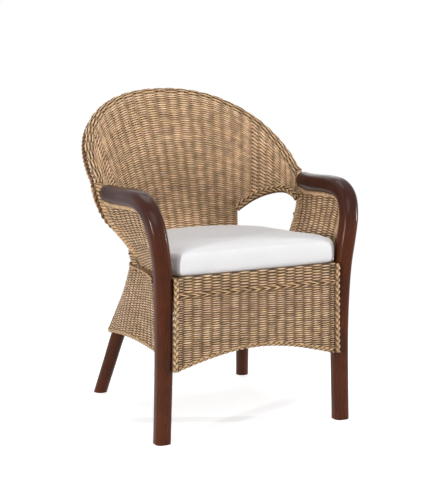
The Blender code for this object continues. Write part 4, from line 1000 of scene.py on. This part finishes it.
def swept(name, paths, finish, nodes=(), sides=STRAND_SIDES):
    """One piece of closed strands.

    A path is points, the two half axes of its section, a tone, and its painted shade: one painted
    light for all of it, or the direction out of its wall or rope with how far out it lies, from -1
    to 1.
    """
    corners, quads, texture, tones, painted_lights = [], [], [], [], []
    base = 0
    for points, first, second, tone, shade in paths:
        count, middle = len(points), len(points) // 2
        if np.dot(np.cross(first[middle], second[middle]), ahead_of(points)[middle]) < 0:
            second = -second
        ring = rings_round(points, first, second, sides)
        corners.append(ring.reshape(-1, 3))
        tones.append(np.full(count * sides, tone))
        painted_lights.append(painted_light_of(points, ring, shade).ravel())
        rows, turns = np.meshgrid(np.arange(count - 1), np.arange(sides), indexing="ij")
        rows = rows[:, :, None] + [0, 0, 1, 1]
        turns = turns[:, :, None] + [0, 1, 1, 0]
        quads.append((rows * sides + turns % sides).reshape(-1, 4) + base)
        run = lengths(points) + tone
        texture.append(np.stack([run[rows], turns / sides], axis=-1).reshape(-1, 2))
        last = (count - 1) * sides
        for k in range(1, sides - 2, 2):
            cap = np.array([0, k, k + 1, k + 2])
            quads.append(cap[None, ::-1] + base)
            quads.append(cap[None, :] + base + last)
            texture.append(np.full((8, 2), tone))
        base += count * sides
    corners, quads = np.vstack(corners), np.vstack(quads)
    corners[:, 1] += SHIFT_Y
    mesh = bpy.data.meshes.new(name)
    mesh.vertices.add(len(corners))
    mesh.vertices.foreach_set("co", corners.ravel())
    mesh.loops.add(quads.size)
    mesh.loops.foreach_set("vertex_index", quads.ravel().astype(np.int32))
    mesh.polygons.add(len(quads))
    mesh.polygons.foreach_set("loop_start", np.arange(0, quads.size, 4, dtype=np.int32))
    layer = mesh.uv_layers.new(name="UVMap")
    layer.data.foreach_set("uv", np.vstack(texture).ravel())
    # Each point's tone, and its painted light for the painted shade between strands
    for attribute, values in (("tone", tones), ("painted_light", painted_lights)):
        stored = mesh.attributes.new(attribute, "FLOAT", "POINT").data
        stored.foreach_set("value", np.concatenate(values))
    mesh.update(calc_edges=True)
    mesh.shade_smooth()
    return dress(name, mesh, finish, nodes)


def braided(name, paths, *nodes):
    swept(name, paths, "braid", nodes, CORD_SIDES)


def mesh_from(bm, name):
    mesh = bpy.data.meshes.new(name)
    bm.to_mesh(mesh)
    bm.free()
    mesh.shade_smooth()
    return mesh


def lofted(name, line, rings, nodes):
    """A wooden bar through rings of points, with UVs, cut flat at the floor."""
    count, run = len(rings[0]), lengths(line[:, :3])
    bm = bmesh.new()
    layer = bm.loops.layers.uv.new("UVMap")
    loops = [[bm.verts.new(point) for point in ring] for ring in rings + REAR * SHIFT_Y]
    for row in range(len(loops) - 1):
        for turn in range(count):
            places = ((row, turn), (row, turn + 1), (row + 1, turn + 1), (row + 1, turn))
            face = bm.faces.new([loops[r][t % count] for r, t in places])
            for loop, (r, t) in zip(face.loops, places):
                loop[layer].uv = (run[r], t / count)
    bm.faces.new(list(reversed(loops[0])))
    bm.faces.new(loops[-1])
    geometry = bm.verts[:] + bm.edges[:] + bm.faces[:]
    floor = {"plane_co": (0, 0, 0), "plane_no": (0, 0, 1)}
    cut = bmesh.ops.bisect_plane(bm, geom=geometry, **floor, clear_inner=True)
    edges = [item for item in cut["geom_cut"] if isinstance(item, bmesh.types.BMEdge)]
    bmesh.ops.holes_fill(bm, edges=edges)
    bmesh.ops.recalc_face_normals(bm, faces=bm.faces)
    mesh = mesh_from(bm, name)
    mesh.set_sharp_from_angle(angle=math.radians(45))
    return dress(name, mesh, "wood", nodes)


def squared_rings(line, steps):
    """Rings of a rounded square section along a line with half sizes."""
    points, half = line[:, :3], line[:, 3]
    ahead = ahead_of(points)
    side = unit(RIGHT - ahead * (ahead @ RIGHT)[:, None])
    up = np.cross(ahead, side)
    run = lengths(points)
    end = smoothstep((run - run[-1] + ARM_ROUND_START) / ARM_ROUND_FADE)
    soft = WOOD_ROUND_SHARE + (1 - WOOD_ROUND_SHARE) * end
    turns = np.linspace(0, 2 * math.pi, 4 * steps, endpoint=False)
    quarter = np.floor(turns / (math.pi / 2)) * math.pi / 2
    within = (turns - quarter) / (math.pi / 2) * steps / (steps - 1)
    turned = quarter + np.minimum(within, 1) * math.pi / 2
    flat = (1 - soft)[:, None]
    x = flat * (np.cos(quarter) - np.sin(quarter)) + soft[:, None] * np.cos(turned)
    y = flat * (np.sin(quarter) + np.cos(quarter)) + soft[:, None] * np.sin(turned)
    spread = side[:, None, :] * x[:, :, None] + up[:, None, :] * y[:, :, None]
    return points[:, None, :] + half[:, None, None] * spread


def round_rings(line, count):
    points, radius = line[:, :3], line[:, 3:]
    side = beside(points, REAR)
    return rings_round(points, side * radius, np.cross(ahead_of(points), side) * radius, count)


def woven_back():
    """The back with its neck and windows, in strands that also turn over the hoop."""
    middle = back_wall(np.zeros(MIDDLE_LINE), np.linspace(0, 1, MIDDLE_LINE))
    wall_rows = int(round(lengths(middle)[-1] / BACK_ROW_PITCH / 4)) * 4
    roll_rows = int(ROLL_SWEEP * ROLL_RADIUS / BACK_ROW_PITCH)
    all_rows = wall_rows + roll_rows
    u = np.linspace(-1, 1, BACK_GRID[0])
    heights = np.linspace(0, 1, BACK_GRID[1])
    shares = u[:, None] * back_edge_shares(heights)
    wall_grid = back_wall(shares.ravel(), np.tile(heights, len(u))).reshape(len(u), -1, 3)
    foot = seat_points(u * POST_SHARE)
    beyond = smoothstep((np.abs(u) - NECK_SHARE) / BAND_START_SHARE)[:, None]
    rise = wall_grid[:, :, 2] - foot[:, None, 2]
    under = smoothstep((BAND_HEIGHT * BAND_END_SHARE - rise) / (BAND_HEIGHT * BAND_FADE_SHARE))
    bulge = seat_points(u * POST_SHARE, BAND_BULGE) - foot
    wall_grid += bulge[:, None, :] * (beyond * under)[:, :, None]
    turns = np.linspace(0, ROLL_SWEEP, roll_rows * 2 + 1)[1:]
    top_shares = np.repeat(u * back_edge_shares(1.0), len(turns))
    roll_grid = back_roll(top_shares, np.tile(turns, len(u))).reshape(len(u), -1, 3)
    # The grid's rows are strand numbers: evenly spaced over the wall, then over the roll
    numbers = np.r_[heights * wall_rows, wall_rows + turns / ROLL_SWEEP * roll_rows]
    even = np.linspace(0, all_rows, all_rows * 2 + 1)
    both = np.concatenate([wall_grid, roll_grid], axis=1)
    points = np.array([sampled(even, numbers, column) for column in both])
    wall = Wall(points, BACK_STAKES, all_rows)
    places = np.linspace(0, BACK_STAKES, len(u))
    local = np.linalg.norm(np.diff(wall_grid, axis=1), axis=2).sum(axis=1) / wall_rows

    def kept(at, rows):
        shares = (at / BACK_STAKES * 2 - 1) * BACK_EDGE_SHARE
        height = rows / wall_rows
        rise = back_wall(shares, np.ones(len(shares))) - seat_points(shares * POST_SHARE)
        solid = (height < BAND_HEIGHT / rise[:, 2]) | (height > arch_shares(shares))
        return solid | (np.abs(shares) <= NECK_SHARE)

    def dropped(at):
        short = DROP_PITCH_SHARE * BACK_ROW_PITCH - np.interp(at, places, local)
        return smoothstep(short / (DROP_FADE_SHARE * BACK_ROW_PITCH) + 0.5)

    half = wall_rows // 2
    swept("back_weave_lower", weft(wall, kept, range(1, half), dropped), "weave", ["woven_back"])
    swept("back_weave_upper", weft(wall, kept, range(half, wall_rows), dropped), "weave")
    swept("back_rolled_rim", weft(wall, kept, range(wall_rows, all_rows)), "weave")
    swept("back_stakes", stakes_of(wall, kept), "weave")


def woven_skirt():
    shares = np.linspace(-1, 1, SKIRT_GRID[0])
    top = seat_points(shares, SKIRT_OFFSET)
    top[:, 2] -= SEAT_HOOP_RADIUS + 3 * CLEARANCE
    low = hem_points(shares, WALL_THICKNESS / 2)
    drop = np.linspace(0, 1, SKIRT_GRID[1])[None, :, None]
    rows = int(np.linalg.norm(low - top, axis=1).mean() / BACK_ROW_PITCH)
    wall = Wall(top[:, None, :] * (1 - drop) + low[:, None, :] * drop, SKIRT_STAKES, rows)
    half = rows // 2
    swept("skirt_weave_upper", weft(wall, all_kept, range(0, half)), "deeply_shaded_weave", ["woven_skirt"])
    swept("skirt_weave_lower", weft(wall, all_kept, range(half, rows + 1)), "deeply_shaded_weave")
    swept("skirt_stakes", stakes_of(wall, all_kept), "deeply_shaded_weave")


def corner_braid_x(z):
    """Where the right corner braid touches the rounded corner of the leg at a height."""
    x, y, half = leg_at(z)
    round_x = x - half + WOOD_CORNER_RADIUS
    round_y = y - half + WOOD_CORNER_RADIUS
    reach = WOOD_CORNER_RADIUS + CORNER_BRAID_RADIUS + 2 * CLEARANCE
    return round_x - math.sqrt(reach**2 - (round_y - CORNER_BRAID_Y) ** 2)


def front_half_width(z):
    return corner_braid_x(z) - CORNER_BRAID_RADIUS - 2 * CLEARANCE


def front_hem_z(across):
    rise = np.cos(across * math.pi / 2)
    return FRONT_HEM_CORNER_Z + (FRONT_HEM_PEAK_Z - FRONT_HEM_CORNER_Z) * rise


def woven_front():
    """The panel below the cushion; its rows are level and end at the arched hem."""
    across = np.linspace(-1, 1, FRONT_GRID[0])[:, None]
    waling_z = SEAT_FRONT_Z - WALING_DROP
    above, below = waling_z + WALING_HALF_HEIGHT, waling_z - WALING_HALF_HEIGHT
    for name, high, low, pitch, nodes in (
        ("front_weave_top", SEAT_FRONT_Z, above, FRONT_TOP_ROW_PITCH, ["front_panel"]),
        ("front_weave", below, FRONT_HEM_CORNER_Z, FRONT_ROW_PITCH, ()),
    ):
        heights = np.linspace(high, low, FRONT_GRID[1])
        half = np.array([front_half_width(z) for z in heights])
        points = grid_of(across * half, FRONT_FACE_Y + WALL_THICKNESS / 2, heights)
        rows = int((high - low) / pitch)
        wall = Wall(points, FRONT_STAKES, rows)

        def kept(at, row, high=high, low=low, rows=rows):
            z = high + (low - high) * row / rows
            return z > front_hem_z(at / FRONT_STAKES * 2 - 1) - HEM_ROW_MARGIN

        swept(name, weft(wall, kept, range(0, rows + 1)), "deeply_shaded_weave", nodes)
        swept(name + "_stakes", stakes_of(wall, kept), "deeply_shaded_weave")


def woven_deck():
    """The flat seat deck inside the seat hoop, its rows running across."""
    low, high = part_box("seat_deck")
    front, rear = low[1] - SHIFT_Y, high[1] - SHIFT_Y
    inner = seat_points(np.linspace(0, 1, DENSE), -SEAT_HOOP_RADIUS - 4 * CLEARANCE)
    x = np.linspace(-high[0], high[0], DECK_GRID[0])[:, None]
    y = np.linspace(front, rear, DECK_GRID[1])
    rows = int((rear - front) / DECK_ROW_PITCH)
    wall = Wall(grid_of(x, y, seat_z(y) - DECK_THICKNESS / 2), DECK_STAKES, rows)
    leg_x, _, leg_half = leg_at(SEAT_FRONT_Z)

    def kept(at, row):
        at_y = front + (rear - front) * row / rows
        half = np.interp(-at_y, -inner[:, 1], inner[:, 0])
        beside_leg = at_y < LEG_BACK_Y + DECK_LEG_MARGIN
        half = np.where(beside_leg, leg_x - leg_half - 2 * CLEARANCE, half)
        return np.abs(at / DECK_STAKES * 2 - 1) * high[0] < half - DECK_MARGIN

    paths = weft(wall, kept, range(1, rows), flat=DECK_FLATNESS)
    paths += stakes_of(wall, kept, DECK_STAKE_RADIUS)
    swept("woven_deck", paths, "deeply_shaded_weave", ["seat_deck"])


def beside_post(z):
    return post_at([z])[0] - REAR * (BACK_HOOP_RADIUS * PANEL_POST_SHARE + CLEARANCE)


def line_under_arm(offset):
    """The line this far under the right arm, from the post forward and down the leg to the seat."""
    ahead = unit(ARM_LINE[2:, :3] - ARM_LINE[:-2, :3])
    inward = unit(np.cross(ahead, RIGHT))
    inside = ARM_LINE[1:-1, :3] + inward * (ARM_LINE[1:-1, 3:] + offset)
    line = [p for p in inside[::-1] if p[1] < beside_post(p[2])[1] or p[2] < PANEL_CORNER_Z]
    return np.array([p for p in line if p[2] > seat_z(p[1]) + CLEARANCE])


def arm_panel_points(columns, rows):
    """A grid over the four sides between post, arm, leg and seat."""
    edge = line_under_arm(2 * PANEL_BRAID_RADIUS + 11 * CLEARANCE)
    corner = share_of(edge, 2, PANEL_CORNER_Z)
    foot_y = beside_post(seat_z(POST_FOOT_Y))[1]
    along = np.linspace(0, 1, columns)
    up = np.linspace(0, 1, rows)
    head = at_shares(edge, corner * along)
    front = at_shares(edge, 1 - (1 - corner) * up)
    foot = seat_points([share_of(SEAT_LINE, 1, y) for y in foot_y + (edge[-1][1] - foot_y) * along])
    foot[:, 2] += 2 * CLEARANCE
    low, high = foot[0], head[0]
    rear = np.array([beside_post(low[2] + (high[2] - low[2]) * share) for share in up])
    low, high = low - beside_post(low[2]), high - beside_post(high[2])
    rear += low * (1 - up)[:, None] + high * up[:, None]
    a, b = along[:, None, None], up[None, :, None]
    points = rear[None] * (1 - a) + front[None] * a + foot[:, None] * (1 - b) + head[:, None] * b
    points = points - foot[0] * (1 - a) * (1 - b) - foot[-1] * a * (1 - b)
    return points - head[0] * (1 - a) * b - head[-1] * a * b


def arm_panels():
    points = arm_panel_points(*PANEL_GRID)
    rows = int(lengths(points[PANEL_GRID[0] // 3])[-1] / BACK_ROW_PITCH)
    for side, word in SIDES:
        wall = Wall(mirrored(points, side), PANEL_STAKES, rows)
        paths = weft(wall, all_kept, range(0, rows + 1)) + stakes_of(wall, all_kept)
        swept(f"arm_panel_weave_{word}", paths, "deeply_shaded_weave", [f"arm_panel_{word}"])
        line = mirrored(line_under_arm(PANEL_BRAID_RADIUS + 4 * CLEARANCE), side)
        cord = rope(line, RIGHT * side, *PANEL_CORD, turn=side)
        swept(f"panel_cord_{word}", cord, "braid", [f"panel_braid_{word}"])


def corner_braids():
    for side, word in SIDES:
        heights = (FRONT_HEM_CORNER_Z - 2 * HEM_BRAID_RADIUS, SEAT_FRONT_Z)
        heights = np.linspace(*heights, SHORT_LINE)
        x = np.array([corner_braid_x(z) for z in heights])
        line = grid_of(side * x, CORNER_BRAID_Y, heights)
        braid = plait(line, RIGHT * side * CORNER_BRAID_TURN - REAR, *CORNER_PLAIT)
        braided(f"corner_plait_{word}", braid, f"corner_braid_{word}")


def hem_braids():
    half = front_half_width(FRONT_HEM_CORNER_Z) - HEM_BRAID_RADIUS * FRONT_HEM_END_SHARE
    across = np.linspace(-1, 1, LINE)
    z = front_hem_z(across) - HEM_BRAID_RADIUS - 2 * CLEARANCE
    braid = plait(grid_of(half * across, FRONT_FACE_Y + WALL_THICKNESS / 2, z), -REAR, *HEM_PLAIT)
    braided("front_hem_plait", braid, "front_hem_braid")
    shares = np.linspace(-1, 1, LONG_LINE)
    line = hem_points(shares, HEM_BRAID_RADIUS)
    line[:, 2] -= HEM_BRAID_RADIUS + 2 * CLEARANCE
    out = unit((hem_points(shares, 0.01) - hem_points(shares)) * np.array([1, 1, 0]))
    braided("skirt_hem_plait", plait(line, out, *HEM_PLAIT), "skirt_hem_braid")
    rise = SEAT_BRAID_RADIUS + CLEARANCE
    outward = math.sqrt((SEAT_HOOP_RADIUS + SEAT_BRAID_RADIUS + 2 * CLEARANCE) ** 2 - rise**2)
    line = seat_points(shares, outward)
    line[:, 2] += rise - SEAT_HOOP_RADIUS
    braided("seat_line_rope", rope(line, UP, *SEAT_ROPE), "seat_braid")


def waling():
    z = SEAT_FRONT_Z - WALING_DROP
    half = front_half_width(z) - CLEARANCE
    paths = []
    for turn in (1, -1):
        x = np.linspace(-half, half, MIDDLE_LINE)
        line = grid_of(x, FRONT_FACE_Y - WALING_OUT, z + WALING_RISE * turn)
        paths += rope(line, -REAR, *WALING_ROPE, turn=turn)
    braided("twined_row", paths, "waling")


def rim_and_hoop():
    centre, outward, upward = rim_frames(np.linspace(-1, 1, LONG_LINE))
    away = outward * math.cos(RIM_BRAID_DROP) - upward * math.sin(RIM_BRAID_DROP)
    reach = BACK_HOOP_RADIUS + RIM_BRAID_RADIUS + CLEARANCE
    middle = POST_LINE[1:-1]
    ahead = unit(POST_LINE[2:] - POST_LINE[:-2])
    turned = (RIM_JOIN_Z - middle[:, 2]) / (RIM_JOIN_Z - RIM_BRAID_END_Z) * math.pi / 2
    out = np.column_stack([np.cos(turned), np.sin(turned), np.zeros(len(turned))])
    out = unit(out - ahead * (ahead * out).sum(axis=1)[:, None])
    keep = (middle[:, 2] > RIM_BRAID_END_Z) & (middle[:, 2] < RIM_JOIN_Z)
    line = both_sides(centre + reach * away, (middle + reach * out)[keep])
    braid = plait(line, both_sides(away, out[keep]), *RIM_PLAIT)
    braided("rim_plait", braid, "rim_braid")
    hoop = both_sides(centre, POST_LINE[POST_LINE[:, 2] < RIM_JOIN_Z])
    swept("hoop_pole", [rod(hoop, BACK_HOOP_RADIUS)], "pole", ["back_hoop"], POLE_SIDES)


def post_wraps_and_arches():
    for side, word in SIDES:
        heights = np.linspace(POST_WRAP_TOP_Z, seat_z(POST_FOOT_Y) + BAND_HEIGHT, LINE)
        wrap = rope(mirrored(post_at(heights), side), -REAR, *POST_WRAP, turn=side)
        braided(f"post_wrap_{word}", wrap)
        edge = back_edge_shares(ARCH_END_HEIGHT)
        shares = side * (NECK_SHARE + (edge - NECK_SHARE) * np.linspace(0, 1, LINE))
        arch = arch_shares(shares)
        here = back_wall(shares, arch)
        up = unit(back_wall(shares, arch + 1 / DENSE) - here)
        along = ahead_of(here)
        normal = unit(np.cross(up, along)) * side
        rise = unit(np.cross(along, normal)) * side
        depth = (WALL_THICKNESS + ARCH_BRAID_THICKNESS) / 2 + 2 * CLEARANCE
        paths = []
        for share, turn in zip(ARCH_ROPE_SHARES, (side, -side)):
            rope_line = here - normal * depth + rise * ARCH_BRAID_WIDTH * share
            paths += rope(rope_line, -normal, *ARCH_ROPE, turn=turn)
        # A rod painted dark as the shade along the arch's lower edge
        paths.append(rod(here + rise * ARCH_CORE_RISE, ARCH_CORE_RADIUS, CORE_PAINTED_LIGHT))
        braided(f"arch_rope_{word}", paths, f"arch_braid_{word}")


def wood():
    for side, word in SIDES:
        turned = np.array([side, 1, 1, 1])
        line = eased(ARM_LINE) * turned
        lofted(f"arm_with_leg_{word}", line, squared_rings(line, ARM_STEPS), [f"arm_and_leg_{word}"])
        line = rear_leg_line() * turned
        lofted(f"splayed_leg_{word}", line, round_rings(line, REAR_LEG_SIDES), [f"rear_leg_{word}"])


def back_posts():
    for side, word in SIDES:
        heights = np.linspace(*BACK_POST_HEIGHTS, SHORT_LINE)
        share = side * BACK_POST_SHARE
        shares = np.full(SHORT_LINE, share)
        offset = WALL_THICKNESS / 2 + 2 * CLEARANCE + BACK_POST_RADIUS
        here = back_wall(shares, heights)
        slope = unit(back_wall(shares, heights + 1 / DENSE) - here)
        seat_share = [share * POST_SHARE]
        outward = (seat_points(seat_share, offset) - seat_points(seat_share))[0]
        outward = outward[None] - slope * (slope @ outward)[:, None]
        pole = [rod(here + unit(outward) * offset, BACK_POST_RADIUS)]
        swept(f"back_pole_{word}", pole, "pole", [f"back_post_{word}"], POLE_SIDES)


def cushion_outline(inset, rise, side_steps=60, corner_steps=8, front_steps=40):
    """The cushion's plan, drawn in by this much, from the middle of the rear by the right."""
    gap = WALL_THICKNESS / 2 + CUSHION_SIDE_GAP + inset
    behind_leg = share_of(SEAT_LINE, 1, LEG_BACK_Y + CUSHION_LEG_GAP + inset)
    shares = np.linspace(0, behind_leg, side_steps)
    flares = CUSHION_FLARE * rise * (1 - (1 - CUSHION_FLARE_SHARE) * shares**4)
    rear = np.column_stack(plan_points(SEAT_LINE, shares, (flares - gap)[:, None]))
    radius = max(CUSHION_CORNER_RADIUS - inset, CUSHION_CORNER_RADIUS / 4)
    x, y = CUSHION_FRONT_HALF_WIDTH - inset - radius, CUSHION_FRONT_Y + inset
    turns = np.linspace(0, math.pi / 2, corner_steps)
    corner = np.column_stack([x + radius * np.cos(turns), y + radius - radius * np.sin(turns)])
    across = x * (1 - np.linspace(0, 1, front_steps + 1)[1:])
    half = np.vstack([rear, corner, np.column_stack([across, np.full(front_steps, y)])])
    return np.vstack([half, (half * np.array([-1.0, 1.0]))[1:-1][::-1]])


def seat_tilted(points):
    """Points of the cushion, given over its flat underside, moved onto the sloping seat.

    The cushion lies a little to the right, most at its front.
    """
    tilt = -math.atan(SEAT_SLOPE)
    ahead = smoothstep((CUSHION_SLIP_Y - points[:, 1]) / CUSHION_SLIP_FADE)
    x = points[:, 0] + (CUSHION_SLIP + CUSHION_FRONT_SLIP * ahead)
    y = points[:, 1] * math.cos(tilt) - points[:, 2] * math.sin(tilt)
    z = points[:, 1] * math.sin(tilt) + points[:, 2] * math.cos(tilt)
    return np.column_stack([x, y + SHIFT_Y, z + seat_z(0) + CLEARANCE])


def cushion_mesh(name, shrink, raised):
    """The crowned box cushion with soft edges, shrunk by this much and raised at its underside."""
    rings = [(CUSHION_EDGE_RADIUS * 2, raised)]
    inner = CUSHION_HEIGHT - shrink - raised
    for turn in np.linspace(-math.pi / 2, math.pi / 2, CUSHION_EDGE_RINGS):
        inset = CUSHION_EDGE_RADIUS * (1 - math.cos(turn) ** CUSHION_EDGE_POWER)
        rise = math.copysign(abs(math.sin(turn)) ** CUSHION_EDGE_POWER, turn)
        rings.append((inset, raised + inner * (1 + rise) / 2))
    for inset_share, crown_share in CUSHION_CROWN_SHARES:
        inset = CUSHION_EDGE_RADIUS + inset_share * CUSHION_CROWN_WIDTH
        rings.append((inset, CUSHION_HEIGHT - shrink + CUSHION_CROWN * crown_share))
    bm = bmesh.new()
    loops = []
    for inset, height in rings:
        plan = cushion_outline(inset + shrink, height / CUSHION_HEIGHT)
        flat = np.column_stack([plan, np.full(len(plan), height)])
        loops.append([bm.verts.new(point) for point in seat_tilted(flat)])
    for lower, upper in zip(loops, loops[1:]):
        for corners in zip(lower, upper, upper[1:] + upper[:1], lower[1:] + lower[:1]):
            bm.faces.new(corners)
    bm.faces.new(loops[0])
    bm.faces.new(list(reversed(loops[-1])))
    bmesh.ops.recalc_face_normals(bm, faces=bm.faces)
    bmesh.ops.triangulate(bm, faces=bm.faces)
    return mesh_from(bm, name)


def apply_modifiers(obj):
    """Replaces a mesh by the one its modifiers make."""
    evaluated = obj.evaluated_get(bpy.context.evaluated_depsgraph_get())
    mesh = bpy.data.meshes.new_from_object(evaluated)
    obj.modifiers.clear()
    obj.data = mesh


def vectors_of(items, key):
    values = np.empty(len(items) * 3)
    items.foreach_get(key, values)
    return values.reshape(-1, 3)


def blown(obj, cap):
    """Swells a closed form with Cloth pressure, each point moving no further than the cap.

    The stuffing keeps a point from moving inwards by more than a little.
    """
    start = vectors_of(obj.data.vertices, "co")
    normals = vectors_of(obj.data.vertex_normals, "vector")
    cloth = obj.modifiers.new("cloth", "CLOTH")
    cloth.settings.use_pressure = True
    cloth.settings.uniform_pressure_force = CUSHION_PRESSURE
    cloth.settings.quality = CLOTH_QUALITY
    cloth.settings.effector_weights.gravity = 0.0
    scene = bpy.context.scene
    for step in range(CUSHION_STEPS):
        scene.frame_set(step + 1)
    apply_modifiers(obj)
    scene.frame_set(1)
    moved = vectors_of(obj.data.vertices, "co") - start
    inward = (moved * normals).sum(axis=1, keepdims=True)
    moved += normals * np.maximum(0, -CUSHION_SINK - inward)
    size = np.linalg.norm(moved, axis=1, keepdims=True)
    moved *= np.minimum(1, cap / np.maximum(size, 1e-9))
    obj.data.vertices.foreach_set("co", (start + moved).ravel())
    obj.data.update()


def cushion():
    mesh = cushion_mesh("seat_cushion", CUSHION_START_SHRINK, CUSHION_START_RISE)
    obj = dress("seat_cushion", mesh, "cloth", ["cushion_cover"], "cushion")
    remesh = obj.modifiers.new("remesh", "REMESH")
    remesh.mode = "VOXEL"
    remesh.voxel_size = CUSHION_VOXEL
    apply_modifiers(obj)
    blown(obj, CUSHION_SWELL_CAP)
    soften = obj.modifiers.new("soften", "SMOOTH")
    soften.iterations = 1
    soften.factor = 0.5
    subdivision = obj.modifiers.new("subdivision", "SUBSURF")
    subdivision.levels = subdivision.render_levels = 1
    apply_modifiers(obj)
    obj.data.materials.clear()
    obj.data.materials.append(FINISHES["cloth"])
    obj.data.shade_smooth()
    foam = cushion_mesh("foam_block", FOAM_SHRINK, FOAM_SHRINK)
    block = dress("foam_block", foam, "foam", ["cushion_foam"], "cushion")


def carried_over():
    """Better materials for the CAD nodes that stay."""
    kinds = {"seat_hoop": "pole", "seat_rail": "wood", "seat_slat": "wood", "dowel": "pole"}
    kinds.update({"bolt": "steel", "pin": "steel", "cushion_zip": "steel"})
    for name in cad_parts:
        for word, finish in kinds.items():
            if word in name:
                for slot in bpy.data.objects[name].material_slots:
                    slot.material = FINISHES[finish]


# Stage, lights and camera


def stage():
    bpy.ops.mesh.primitive_plane_add(size=FLOOR_SIZE, location=(0, 0, 0))
    floor = bpy.context.object
    floor.name = "floor"
    n = new_material("scene_floor")
    n.finish(Base_Color=(FLOOR_ALBEDO,) * 3, Roughness=0.9, Specular_IOR_Level=0.0)
    # What looks at the floor sees it white, with the chair's shadow on it
    away = n.add("ShaderNodeVectorMath", {0: n.place()}, "Value", operation="LENGTH")
    glow = n.between(away, *FLOOR_GLOW, *FLOOR_FADE)
    glow = n.add("ShaderNodeEmission", {"Color": (1.0, 1.0, 1.0), "Strength": glow})
    lit = n.between(away, *FLOOR_SHADE, *FLOOR_FADE)
    lit = n.add("ShaderNodeCombineColor", {0: lit, 1: lit, 2: lit})
    lit = n.add("ShaderNodeBsdfDiffuse", {"Color": lit})
    n.shown("Material Output", n.add("ShaderNodeAddShader", {0: glow, 1: lit}))
    floor.data.materials.append(n.owner)


def aimed(name, data, place, target):
    """Puts a lamp or a camera at a place and turns it to its target."""
    obj = bpy.data.objects.new(name, data)
    bpy.context.scene.collection.objects.link(obj)
    obj.location = place
    obj.rotation_euler = (Vector(target) - obj.location).to_track_quat("-Z", "Y").to_euler()
    return obj


def lights():
    for name, (place, size, power) in LAMPS.items():
        data = bpy.data.lights.new(name, "AREA")
        data.shape = "RECTANGLE"
        data.size, data.size_y = size
        data.energy = power
        aimed(name, data, place, LAMP_TARGET)
    world = bpy.data.worlds.new("studio")
    bpy.context.scene.world = world
    n = Nodes(world, "Background")
    white = {"Color": (1.0, 1.0, 1.0)}
    n.finish(**white, Strength=SOFT_STRENGTH)
    n.shown("World Output", n.add("ShaderNodeBackground", white))


def camera():
    data = bpy.data.cameras.new("camera")
    data.sensor_width = 36.0
    data.lens = CAMERA_LENS
    x = -math.sin(CAMERA_AZIMUTH) * math.cos(CAMERA_RISE)
    y = -math.cos(CAMERA_AZIMUTH) * math.cos(CAMERA_RISE)
    away = Vector((x, y, math.sin(CAMERA_RISE)))
    place = Vector((0, SHIFT_Y, CAMERA_PIVOT_Z)) + away * CAMERA_DISTANCE
    target = Vector(CAMERA_TARGET) + Vector((0, SHIFT_Y, 0))
    bpy.context.scene.camera = aimed("camera", data, place, target)


camera()
stage()
lights()
wood()
woven_back()
woven_skirt()
woven_front()
woven_deck()
arm_panels()
corner_braids()
hem_braids()
waling()
rim_and_hoop()
post_wraps_and_arches()
back_posts()
cushion()
carried_over()
bpy.context.scene.view_settings.view_transform = "Standard"
